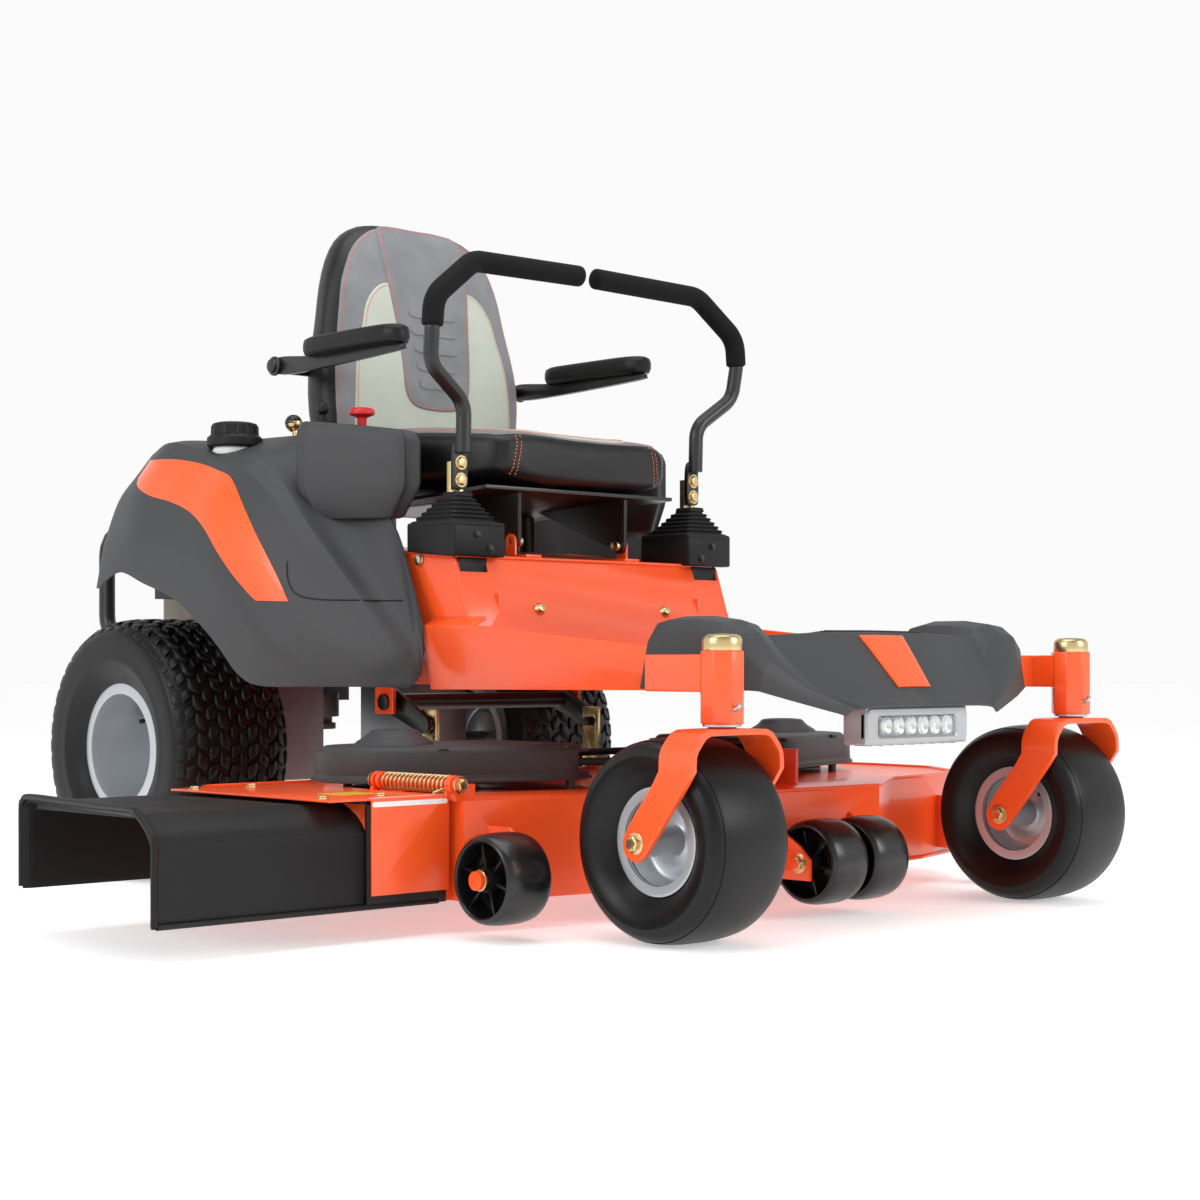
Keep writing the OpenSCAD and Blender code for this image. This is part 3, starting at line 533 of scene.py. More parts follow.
sew("cushion_stitching", seams, thread, "seat")
finished("seat_pan_pressing", "seat_pan", black_coat, 1.5)

# ---------- armrests ----------
# Black integral-foam pads with a soft skin, each on a pressed arm that folds up about a bolt in
# the side of the backrest.
soft_black, tree, main, place = new_finish("skinned_foam", "black_plastic", {"Specular IOR Level": 0.3})
patch, mix = mottle(tree, main, place, ("#0a0a0a", "#0f0f0f"), 30)
sheen_change(tree, main, patch.outputs["Fac"], 0.38, 0.5)
grain = add(tree, "TexVoronoi", {"Scale": 1000 / 1.2}, {"Vector": place})
relief(tree, main, grain.outputs["Distance"], 0.12, 0.4)


def outline_body(name, outline, low, high, plane="xy", parts=6):
    """A flat piece with a smooth closed outline, between two levels across its plane, in mm."""
    edge = spline([Vector((u, v, 0)) for u, v in outline], parts, closed=True)
    rings = []
    for level in (low, high):
        for_plane = {"xy": lambda p, w: at(p.x, p.y, w), "yz": lambda p, w: at(w, p.x, p.y),
                     "xz": lambda p, w: at(p.x, w, p.y)}[plane]
        rings.append([for_plane(p, level) for p in edge])
    return loft(name, rings)


for side, word in ((1, "left"), (-1, "right")):
    pad = [(side * x, y) for x, y in ((281, -534), (302, -522), (311, -480), (311, -330), (303, -284),
                                      (280, -272),
                                      (258, -284), (250, -330), (250, -480), (260, -522))]
    rest = loft(f"{word}_armrest_pad", [[at(x0 + (x - x0) * k, y0 + (y - y0) * k2, z)
                                         for x, y in ((q.x,
                                                       q.y) for q in spline([Vector((u, v, 0)) for u,
                                                           v in pad], 6,
                                                                                 closed=True))]
                                        for x0, y0 in ((side * 281, -403),)
                                        for k, k2,
                                        z in ((0.74, 0.93, 905), (0.9, 0.98, 907), (1, 1, 915), (1, 1, 925),
                                                         (0.94, 0.985, 932), (0.75, 0.93, 936),
                                                         (0.4, 0.7, 937.5))])
    soften(rest, 0, angle=50)
    fit(rest, f"{word}_armrest", soft_black, f"{word}_armrest")
    arm = outline_body(f"{word}_armrest_arm", [(-530, 899), (-505, 893), (-300, 884), (-190, 884),
                                               (-164, 899),
                                               (-190, 914), (-300, 907), (-500, 906)],
                       min(side * 274, side * 286), max(side * 274, side * 286), "yz")
    fit(soften(arm, 2), f"{word}_armrest", black_coat)
    pin = loft(f"{word}_armrest_pin", [[at(side * x, -180 + r * math.cos(k * math.pi / 14),
                                           899 + r * math.sin(k * math.pi / 14))
                                        for k in range(28)] for x,
                                        r in ((190, 12), (268, 12), (271, 9), (273, 9))])
    fit(soften(pin, 0, angle=40), "seat", black_coat)
    boss = loft(f"{word}_armrest_pivot", [[at(side * x, -180 + r * math.cos(k * math.pi / 16),
                                              899 + r * math.sin(k * math.pi / 16)) for k in range(32)]
                                          for x, r in ((286, 17), (291, 17), (292, 12), (297, 12), (298, 9))])
    fit(soften(boss, 0.8), f"{word}_armrest", black_coat)

# ---------- lap bars ----------
# Bent black tubes bolted to zinc-plated levers, with closed-cell foam sleeves pushed over the ends.


def rounded_route(corners, bend_mm, steps=8):
    """A route of straights with its corners bent to a radius."""
    route = [corners[0]]
    for a, p, b in zip(corners, corners[1:], corners[2:]):
        u, v = (a - p).normalized(), (b - p).normalized()
        half = u.angle(v) / 2
        reach = min(bend_mm / 1000 / math.tan(half), (a - p).length / 2.01, (b - p).length / 2.01)
        radius = reach * math.tan(half)
        centre = p + (u + v).normalized() * radius / math.sin(half)
        first, last = p + u * reach - centre, p + v * reach - centre
        for i in range(steps + 1):
            t = i / steps
            route.append(centre + (first * (1 - t) + last * t).normalized() * radius)
    return route + [corners[-1]]


def swept_tube(name, route, radii, sides=24):
    """A tube along a route; radii is one radius in mm, or a function of the share of the way along."""
    rings, length = [], [0.0]
    for a, b in zip(route, route[1:]):
        length.append(length[-1] + (b - a).length)
    side = (route[1] - route[0]).orthogonal().normalized()
    for i, p in enumerate(route):
        run = (route[min(i + 1, len(route) - 1)] - route[max(i - 1, 0)]).normalized()
        side = (side - run * side.dot(run)).normalized()
        third = run.cross(side)
        r = (radii(length[i] / length[-1]) if callable(radii) else radii) / 1000
        rings.append([p + (side * math.cos(2 * math.pi * k / sides) + third * math.sin(2 * math.pi * k / sides)) * r
                      for k in range(sides)])
    return loft(name, rings)


def evenly(route, step_mm):
    """The same route with points at most a step apart."""
    dense = []
    for a, b in zip(route, route[1:]):
        parts = max(1, round((b - a).length * 1000 / step_mm))
        dense += [a + (b - a) * i / parts for i in range(parts)]
    return dense + [route[-1]]


def round_end(length_mm, radius_mm, edge_mm):
    """Radius along a sleeve whose two ends are rounded over."""
    def radius(share):
        near = min(share, 1 - share) * length_mm
        if near >= edge_mm:
            return radius_mm
        return radius_mm - edge_mm + math.sqrt(max(0.0, edge_mm ** 2 - (edge_mm - near) ** 2))
    return radius


foam, tree, main, place = new_finish("closed_cell_foam", "foam_grip", {"Specular IOR Level": 0.2})
patch, mix = mottle(tree, main, place, ("#0c0c0c", "#131313"), 9, 4)
sheen_change(tree, main, patch.outputs["Fac"], 0.72, 0.9)
cells = add(tree, "TexVoronoi", {"Scale": 1000 / 1.1}, {"Vector": place})
relief(tree, main, cells.outputs["Distance"], 0.3, 0.7)
bright_zinc, tree, main, place = new_finish("clear_zinc_plate", "zinc_steel", {"Metallic": 1.0})
patch, mix = mottle(tree, main, place, ("#b9bbbd", "#cfd0d1"), 12)
sheen_change(tree, main, patch.outputs["Fac"], 0.24, 0.38)


def bolt(name, place_at, way, radius_mm, finish, body, height_mm=6, washer=True):
    """A hexagon bolt head, or nut, on its washer, standing off a face along a way."""
    way = way.normalized()
    side = way.orthogonal().normalized()
    third = way.cross(side)

    def ring(r, out, count, turn=0.0):
        return [place_at + way * out / 1000 + (side * math.cos(2 * math.pi * (k + turn) / count)
                                               + third * math.sin(2 * math.pi * (k + turn) / count)) * r / 1000
                for k in range(count)]

    head = loft(name, [ring(radius_mm * 1.15, 1.4 if washer else -0.5, 6),
                       ring(radius_mm * 1.15, height_mm - 1, 6),
                       ring(radius_mm * 0.98, height_mm, 6), ring(radius_mm * 0.6, height_mm + 0.3, 6)])
    soften(head, 0.5)
    fit(head, body, finish)
    if washer:
        flat = loft(name + "_washer", [ring(radius_mm * 1.55, -0.5, 28), ring(radius_mm * 1.55, 1.0, 28),
                                       ring(radius_mm * 1.45, 1.5, 28)])
        soften(flat, 0)
        fit(flat, body, finish)


for side, word in ((1, "left"), (-1, "right")):
    s = side
    bar = rounded_route([at(s * 268, -668, 716), at(s * 268, -670, 795), at(s * 347, -682, 850),
                         at(s * 350, -690, 905),
                         at(s * 346, -690, 955), at(s * 262, -681, 1022), at(s * 40, -673, 1027)], 42)
    tube = swept_tube(f"{word}_bar_tube", evenly(bar, 8), 12.5)
    fit(soften(tube, 0, angle=60), f"{word}_lap_bar", black_coat, f"{word}_lap_bar")
    tang = outline_body(f"{word}_bar_tang", [(s * 255, 662), (s * 268, 658), (s * 281, 662), (s * 282, 700),
                                             (s * 279, 728),
                                             (s * 268, 735), (s * 257, 728), (s * 254, 700)], -662.5, -653.5,
                                             "xz", 4)
    fit(soften(tang, 1.2), f"{word}_lap_bar", black_coat)
    for z in (672, 700):
        bolt(f"{word}_bar_bolt_{z}", at(s * 268, -662.5, z), Vector((0, -1, 0)), 8, zinc_plate,
             f"{word}_lap_bar")
    sleeve_route = evenly(rounded_route([at(s * 350, -690, 906), at(s * 346, -690, 955),
                                         at(s * 258, -681, 1022),
                                         at(s * 15, -673, 1027)], 50), 4)
    total = sum((b - a).length for a, b in zip(sleeve_route, sleeve_route[1:])) * 1000
    sleeve = swept_tube(f"{word}_foam_sleeve", sleeve_route, round_end(total, 17.5, 6), 32)
    fit(soften(sleeve, 0, angle=70), f"{word}_lap_bar", foam, f"{word}_grip")
    finished(f"{word}_control_lever", f"{word}_control_arm", zinc_plate, 1.0)

# ---------- body mouldings ----------
# Injection-moulded covers in textured dark grey, 4 mm thick with rolled rims: a fender over each
# rear wheel, a console beside each knee and the footrest over the caster beam.
moulded_grey, tree, main, place = new_finish("textured_grey_moulding", "dark_plastic",
                                             {"Specular IOR Level": 0.35})
patch, mix = mottle(tree, main, place, ("#38393b", "#3e3f41"), 160)
sheen_change(tree, main, patch.outputs["Fac"], 0.46, 0.58)
leather = add(tree, "TexVoronoi", {"Scale": 1000 / 1.4}, {"Vector": place})
relief(tree, main, leather.outputs["Distance"], 0.16, 0.5)
moulded_black, tree, main, place = new_finish("textured_black_moulding", "black_plastic",
                                              {"Specular IOR Level": 0.28})
patch, mix = mottle(tree, main, place, ("#0f0f10", "#141415"), 120)
sheen_change(tree, main, patch.outputs["Fac"], 0.42, 0.56)
leather = add(tree, "TexVoronoi", {"Scale": 1000 / 1.2}, {"Vector": place})
relief(tree, main, leather.outputs["Distance"], 0.14, 0.45)


def shell(name, rows, folds=(), parts=5, wall_mm=4, side=1, edge_mm=1.2, round_mm=0):
    """A moulded skin through rows of points, smooth except where a column folds, given its wall."""
    def across(row):
        marks = [0] + list(folds) + [len(row) - 1]
        line = []
        for a, b in zip(marks, marks[1:]):
            line += spline(row[a:b + 1], parts)[:-1]
        return line + [Vector(row[-1])]

    dense = [across([Vector((side * x, y, z)) for x, y, z in row]) for row in rows]
    columns = [spline([row[k] for row in dense], parts) for k in range(len(dense[0]))]
    tall, wide = len(columns[0]), len(columns)
    points = [at(*columns[k][i]) for i in range(tall) for k in range(wide)]
    faces = [[i * wide + k, i * wide + k + 1, (i + 1) * wide + k + 1, (i + 1) * wide + k]
             for i in range(tall - 1) for k in range(wide - 1)]
    obj = new_mesh(name, points, faces)
    out = obj.data.polygons[len(obj.data.polygons) // 2]
    if (out.center - at(side * 300, -250, 450)).dot(out.normal) < 0:
        obj.data.flip_normals()
    if round_mm:
        soften(obj, round_mm, 4, 7)
    wall = obj.modifiers.new("wall", "SOLIDIFY")
    wall.thickness = wall_mm / 1000
    wall.offset = -1
    settle(obj)
    return soften(obj, edge_mm, 2, 25)


FENDER = (
    ((303, 46, 776), (350, 48, 774), (392, 50, 752), (418, 56, 716), (446, 74, 668), (464, 96, 590),
     (468, 114, 512)),
    ((303, -20, 777), (362, -20, 775), (402, -20, 768), (424, -20, 744), (466, -24, 680), (490, -34, 606),
     (480, 20, 538)),
    ((303, -100, 774), (362, -100, 766), (402, -100, 754), (425, -100, 732), (470, -104, 668),
     (491, -100, 594),
     (481, -62, 516)),
    ((303, -180, 772), (362, -180, 752), (402, -180, 736), (426, -180, 716), (472, -176, 650),
     (491, -168, 580),
     (481, -150, 490)),
    ((303, -262, 770), (362, -262, 744), (402, -264, 728), (426, -262, 708), (473, -248, 636),
     (491, -235, 568),
     (481, -225, 451)),
    ((303, -316, 764), (362, -312, 726), (402, -310, 708), (425, -306, 690), (471, -292, 616),
     (490, -280, 542),
     (481, -292, 405)),
    ((303, -352, 742), (362, -366, 684), (400, -374, 664), (424, -368, 646), (464, -356, 570),
     (487, -350, 480),
     (480, -344, 362)),
    ((303, -392, 706), (362, -424, 622), (399, -442, 594), (421, -436, 574), (456, -430, 500),
     (481, -421, 416),
     (474, -398, 342)),
    ((304, -460, 660), (352, -520, 530), (394, -548, 496), (414, -540, 474), (440, -522, 424),
     (455, -500, 372),
     (450, -500, 341)),
    ((305, -525, 617), (342, -610, 452), (386, -634, 408), (402, -624, 392), (412, -606, 374),
     (418, -590, 352),
     (418, -588, 341)),
    ((322, -590, 540), (348, -650, 400), (368, -658, 372), (378, -652, 362), (384, -646, 352),
     (388, -640, 344),
     (388, -638, 340)),
    ((338, -648, 440), (346, -662, 372), (358, -664, 352), (364, -662, 346), (368, -660, 343),
     (370, -658, 341),
     (370, -658, 339.5)))
decal_coat, tree, main, place = new_finish("orange_film", "orange_paint",
                                           {"Roughness": 0.3, "Coat Weight": 0.3})
mottle(tree, main, place, ("#f8541a", "#fb5e20"), 60)
for side, word in ((1, "left"), (-1, "right")):
    fender = shell(f"{word}_fender_moulding", FENDER, (2, 3, 5), side=side)
    if side < 0:
        hole = loft("neck_hole_body", [[at(-360 + 39 * math.cos(k * math.pi / 24),
                                           -163 + 39 * math.sin(k * math.pi / 24), z)
                                        for k in range(48)] for z in (700, 800)])
        cut = fender.modifiers.new("neck", "BOOLEAN")
        cut.object = hole
        cut.operation = "DIFFERENCE"
        settle(fender)
        bpy.data.objects.remove(hole)
        fender.data.shade_smooth()
        fender.data.set_sharp_from_angle(angle=math.radians(25))
    fit(fender, "chassis", moulded_grey, f"{word}_fender")
    fender_skin = skin_of(fender)
    STRIPE = (((16, 706), (12, 738)), ((-6, 690), (-20, 736)), ((-70, 668), (-80, 733)),
              ((-140, 653), (-150, 722)),
              ((-205, 632), (-215, 706)), ((-252, 604), (-268, 688)), ((-290, 566), (-318, 640)),
              ((-330, 528), (-372, 578)), ((-372, 494), (-420, 520)), ((-392, 480), (-452, 478)))
    rows = [[Vector((0, y0 + (y1 - y0) * t, z0 + (z1 - z0) * t)) for t in (0, 0.33, 0.67, 1)]
            for (y0, z0), (y1, z1) in STRIPE]
    columns = [spline([row[k] for row in rows], 5) for k in range(4)]
    grid = [[Vector(columns[k][i]) for k in range(4)] for i in range(len(columns[0]))]
    grid = [spline(row, 5) for row in grid]
    inward = Vector((-side, 0, 0))
    points = [lay(fender_skin, at(side * 700, p.y, p.z), inward, 0.7) for row in grid for p in row]
    wide = len(grid[0])
    faces = [[i * wide + k, i * wide + k + 1, (i + 1) * wide + k + 1, (i + 1) * wide + k]
             for i in range(len(grid) - 1) for k in range(wide - 1)]
    stripe = new_mesh(f"{word}_fender_stripe", points, faces)
    if stripe.data.polygons[0].normal.x * side < 0:
        stripe.data.flip_normals()
    fit(soften(stripe, 0, angle=50), "chassis", decal_coat)
    # Painted shade: a thin black line along the fender's cut line stands in for the shadow in the groove.
    cut_shade_line = spline([Vector((0, y, z)) for y, z in ((-428, 544), (-440, 514), (-462, 490), (-500, 481),
                                                       (-560, 479),
                                                       (-596, 479))], 8)
    seam = swept_tube(f"{word}_fender_cut_shade", [lay(fender_skin, at(side * 700, q.y, q.z), inward,
                                                  0.1) for q in cut_shade_line], 1.3, 8)
    fit(soften(seam, 0, angle=60), "chassis", moulded_black)
    CONSOLE = (((268, -552), (294, -557), (312, -548), (376, -420), (386, -398), (380, -374), (330, -366),
                (268, -366)))
    edge = spline([Vector((side * x, y, 0)) for x, y in CONSOLE], 5, closed=True)
    middle = Vector((side * 318, -450, 0))

    def console_ring(share, height):
        ring = []
        for p in edge:
            q = middle + (p - middle) * share
            ring.append(at(q.x, q.y, height(q.y)))
        return ring

    slope = lambda low: (lambda y: low + (y + 556) * 0.13)
    console = loft(f"{word}_console_moulding",
                   [console_ring(0.7, lambda y: 616), console_ring(0.76, lambda y: 619),
                    console_ring(0.97, lambda y: 662),
                    console_ring(1.0, lambda y: 672),
                    console_ring(1.0, slope(737)), console_ring(0.985, slope(744)),
                    console_ring(0.9, slope(756)), console_ring(0.84, slope(758)),
                    console_ring(0.6, slope(759)), console_ring(0.2, slope(759.5))])
    fit(soften(console, 0, angle=45), "chassis", moulded_grey, *(("consoles",) if side > 0 else ()))

# Footrest: two arches over the rails, a dished step between them and a nose over the headlight.
COVER = (
    ((334, -1136, 343), (334, -1152, 410), (322, -1160, 436), (288, -1160, 441), (256, -1156, 434),
     (240, -1150, 412),
     (120, -1148, 409), (0, -1148, 409)),
    ((335, -1176, 343), (335, -1180, 422), (324, -1182, 440), (288, -1182, 446), (254, -1182, 439),
     (238, -1182, 413),
     (120, -1180, 411), (0, -1180, 411)),
    ((335, -1240, 343), (335, -1240, 424), (323, -1240, 441), (288, -1240, 446), (252, -1240, 438),
     (238, -1240, 417),
     (120, -1240, 418), (0, -1240, 418)),
    ((335, -1290, 343), (334, -1290, 420), (321, -1288, 436), (286, -1288, 440), (252, -1288, 433),
     (238, -1292, 419),
     (120, -1297, 424), (0, -1298, 425)),
    ((330, -1322, 343), (326, -1320, 400), (310, -1318, 420), (280, -1316, 422), (252, -1312, 412),
     (228, -1322, 384),
     (120, -1330, 384), (0, -1332, 386)),
    ((308, -1342, 341), (300, -1342, 368), (288, -1342, 382), (264, -1342, 380), (238, -1344, 366),
     (212, -1350, 352),
     (120, -1357, 351), (0, -1359, 353)),
    ((262, -1360, 328), (250, -1362, 340), (238, -1363, 346), (222, -1364, 344), (204, -1366, 336),
     (180, -1371, 329),
     (120, -1374, 331), (0, -1376, 333)),
    ((176, -1386, 306), (170, -1388, 310), (164, -1389, 314), (158, -1390, 316), (150, -1392, 317),
     (142, -1394, 318),
     (118, -1394, 319), (0, -1396, 320)))
for side, word in ((1, "left"), (-1, "right")):
    cover = shell(f"{word}_footrest_moulding", COVER, (1, 4), 1, 3.5, side, 0.8, 8)
    fit(cover, "chassis", moulded_grey, *(("foot_cover",) if side > 0 else ()))

# ---------- wheels ----------
# Turf tyres at the rear and smooth ones on the casters, on pressed steel rims painted silver.


def turned(name, profile, centre, steps=96, closed=False, flip=1):
    """A body of revolution about a line across the machine; the profile is (radius, outward) in mm."""
    rings = []
    for k in range(steps):
        turn = 2 * math.pi * k / steps
        rings.append([centre + Vector((flip * x, r * math.cos(turn), r * math.sin(turn))) / 1000 for r,
                      x in profile])
    count = len(profile)
    last = count if closed else count - 1
    faces = [[k * count + i, k * count + (i + 1) % count, (k + 1) % steps * count + (i + 1) % count,
              (k + 1) % steps * count + i] for k in range(steps) for i in range(last)]
    return new_mesh(name, [p for ring in rings for p in ring], faces)


def smooth_profile(points, parts=4):
    """A profile with its corners eased through a spline."""
    return [(p.x, p.y) for p in spline([Vector((r, x, 0)) for r, x in points], parts)]


rubber, tree, main, place = new_finish("carbon_black_rubber", "tyre_rubber", {"Specular IOR Level": 0.28})
patch, mix = mottle(tree, main, place, ("#080808", "#0e0e0f"), 40, 5)
sheen_change(tree, main, patch.outputs["Fac"], 0.3, 0.46)
skin_noise = add(tree, "TexNoise", {"Scale": 1000 / 1.5, "Detail": 4}, {"Vector": place})
relief(tree, main, skin_noise.outputs["Fac"], 0.12, 0.5)
silver_coat, tree, main, place = new_finish("silver_wheel_paint", "silver_rim", {
    "Metallic": 0.55, "Coat Weight": 0.3, "Coat Roughness": 0.2})
patch, mix = mottle(tree, main, place, ("#b4b8bc", "#c2c6ca"), 60)
flake = add(tree, "TexNoise", {"Scale": 1000 / 0.7, "Detail": 2}, {"Vector": place})
sheen_change(tree, main, flake.outputs["Fac"], 0.3, 0.42)

REAR_SIDE = [(102.5, 92), (108, 92.5), (115, 94), (124, 101), (140, 110), (152, 114.5), (156, 115.6),
             (160, 114.9),
             (176, 116.8), (192, 116), (200, 115.4), (206, 112), (213, 103), (218, 90), (221.5, 60),
             (222.5, 25), (222.6, 0)]
CROWN = 222.6


def crown_radius(u):
    """Radius of the rear tyre's carcass at a distance from its centre plane."""
    for (r0, x0), (r1, x1) in zip(REAR_SIDE[8:], REAR_SIDE[9:]):
        if x1 <= abs(u) <= x0:
            return r0 + (r1 - r0) * (x0 - abs(u)) / (x0 - x1)
    return 192


def lug(points, faces, centre, u, arc, width, length, skew, height):
    """One tread block: a rounded parallelogram standing off the carcass."""
    base = len(points)
    corners = ((-1, -0.8), (-0.8, -1), (0.8, -1), (1, -0.8), (1, 0.8), (0.8, 1), (-0.8, 1), (-1, 0.8))
    for level, share in ((-2, 1.12), (height - 1, 0.96), (height, 0.84)):
        for a, b in corners:
            across = u + a * share * width / 2
            along = arc + (b * share * length / 2 + a * skew)
            r = crown_radius(across) + level
            turn = along / CROWN
            points.append(centre + Vector((across, r * math.cos(turn), r * math.sin(turn))) / 1000)
    for level in (0, 1):
        faces += [[base + level * 8 + k, base + level * 8 + (k + 1) % 8, base + level * 8 + 8 + (k + 1) % 8,
                   base + level * 8 + 8 + k] for k in range(8)]
    faces.append([base + 16 + k for k in range(8)])


for side, word in ((1, "left"), (-1, "right")):
    hub = at(side * 393, 0, 228.5)
    profile = [(r, x) for r, x in REAR_SIDE] + [(r, -x) for r, x in reversed(REAR_SIDE[:-1])]
    tyre = turned(f"{word}_rear_tyre_carcass", profile + [(96, -88), (96, 88)], hub, 120, True)
    fit(soften(tyre, 0, angle=50), f"{word}_rear_wheel", rubber, f"{word}_rear_tyre")
    points, faces = [], []
    pitches = 42
    for pitch in range(pitches):
        arc = 2 * math.pi * CROWN * pitch / pitches
        step = 2 * math.pi * CROWN / pitches
        for column, (u, width, length, skew, height) in enumerate((
                (9, 13, 20, 3, 5.6), (29, 17, 23, -4, 5.6), (51, 17, 20, 5, 5.6), (72, 16, 25, -4, 5.4),
                (91, 14, 19, 4, 4.6))):
            for s in (-1, 1):
                lug(points, faces, hub, s * u, arc + (step / 2 if (column + (s > 0)) % 2 else 0), width,
                    length, s * skew, height)
        for s in (-1, 1):
            lug(points, faces, hub, s * 107.5, arc + (step / 2 if s > 0 else 0), 9, 26, 0, 3.0)
    tread = new_mesh(f"{word}_rear_tread", points, faces)
    fit(soften(tread, 0, angle=40), f"{word}_rear_wheel", rubber)
    outer = side
    rim_line = [(96.8, -94), (112.6, -95), (114, -93), (112.6, -91), (101, -90), (99, -60), (96, -40),
                (96, 40), (99, 60),
                (101, 90), (112.6, 91), (114, 93), (112.6, 95), (99, 95.5), (95.5, 92), (94, 62), (92.5, 40),
                (92, -14),
                (88, -26), (78, -34), (66, -38), (60, -37), (54, -30), (44, -27), (30, -27), (28, -30),
                (0.5, -30.5)]
    rim = turned(f"{word}_rear_rim_pressing", smooth_profile(rim_line, 3), hub, 96, flip=outer)
    fit(soften(rim, 0, angle=45), f"{word}_rear_wheel", silver_coat, f"{word}_rear_rim")
    shaft = turned(f"{word}_rear_axle", [(0.4, -183), (12.5, -183), (12.5, -48), (52, -48), (52, -40),
                                         (0.4, -40)], hub, 48,
                   flip=outer)
    fit(soften(shaft, 0.8), f"{word}_rear_wheel", bright_zinc)
    axle_end = turned(f"{word}_rear_hub_cap", [(0.4, -20), (15, -20.5), (19, -23), (20, -31)], hub, 36,
                      flip=outer)
    fit(soften(axle_end, 0, angle=40), f"{word}_rear_wheel", bright_zinc)
    for k in range(4):
        turn = math.radians(45 + 90 * k)
        spot = hub + Vector((outer * -28, 40 * math.cos(turn), 40 * math.sin(turn))) / 1000
        bolt(f"{word}_wheel_nut_{k}", spot, Vector((outer, 0, 0)), 8.5, bright_zinc, f"{word}_rear_wheel", 11)
    stem = [hub + Vector((outer * x, 84 * math.cos(0.6) + d, 84 * math.sin(0.6) + d * 0.6)) / 1000
            for x, d in ((-26, 0), (-16, 0), (-6, -1), (6, -3), (14, -5))]
    valve = swept_tube(f"{word}_rear_valve", stem,
                       lambda t: 5.6 - 1.8 * min(1, t * 2.5) + (0.7 if t > 0.8 else 0), 16)
    fit(soften(valve, 0), f"{word}_rear_wheel", rubber)

CASTER_SIDE = [(64.5, 48), (70, 48.2), (75, 49.5), (80, 55), (92, 66), (104, 73), (114, 75.8), (116, 76),
               (118, 75.4),
               (126, 72.5), (131.5, 66), (134, 60), (134.6, 58), (135.8, 57), (138.4, 40), (139.8, 18),
               (140, 0)]
for side, word in ((1, "left"), (-1, "right")):
    hub = at(side * 403, -1287, 140)
    profile = CASTER_SIDE + [(r, -x) for r, x in reversed(CASTER_SIDE[:-1])]
    tyre = turned(f"{word}_caster_carcass", smooth_profile(profile, 3) + [(60, -44), (60, 44)], hub, 96, True)
    fit(soften(tyre, 0, angle=50), f"{word}_caster_wheel", rubber, f"{word}_caster_tyre")
    rim_line = [(60, -50), (72.6, -51), (73.5, -49.5), (72.6, -48), (64, -47), (62, -30), (62, 30), (64, 47),
                (72.6, 48),
                (73.5, 49.5), (72.6, 51), (62.5, 51.2), (60.5, 48), (59, 26), (57, 6), (50, -3), (40, -4),
                (30, 2), (22, 4),
                (19.6, 10), (19.4, 60), (19, 78), (16, 78.9), (8.2, 78.9)]
    rim = turned(f"{word}_caster_rim_pressing", smooth_profile(rim_line, 3), hub, 80, flip=1)
    fit(soften(rim, 0, angle=45), f"{word}_caster_wheel", silver_coat, f"{word}_caster_rim")
    back_line = [(60.4, -48), (58.8, -26), (56.5, -14), (50, -10), (40, -9), (30, -12), (22, -14),
                 (19.6, -20), (19.4, -60),
                 (19, -78), (16, -78.9), (8.2, -78.9)]
    dish = turned(f"{word}_caster_rim_back", smooth_profile(back_line, 3), hub, 80, flip=1)
    fit(soften(dish, 0, angle=45), f"{word}_caster_wheel", silver_coat)
    stem = [hub + Vector((s, 46 * math.cos(2.4), 46 * math.sin(2.4))) / 1000 for s in (-2 * 1, 8, 18, 28)]
    stem = [Vector((hub.x - (p.x - hub.x), p.y, p.z)) for p in stem]
    valve = swept_tube(f"{word}_caster_valve", stem, lambda t: 4.8 - 1.2 * min(1, t * 2), 14)
    fit(soften(valve, 0), f"{word}_caster_wheel", rubber)

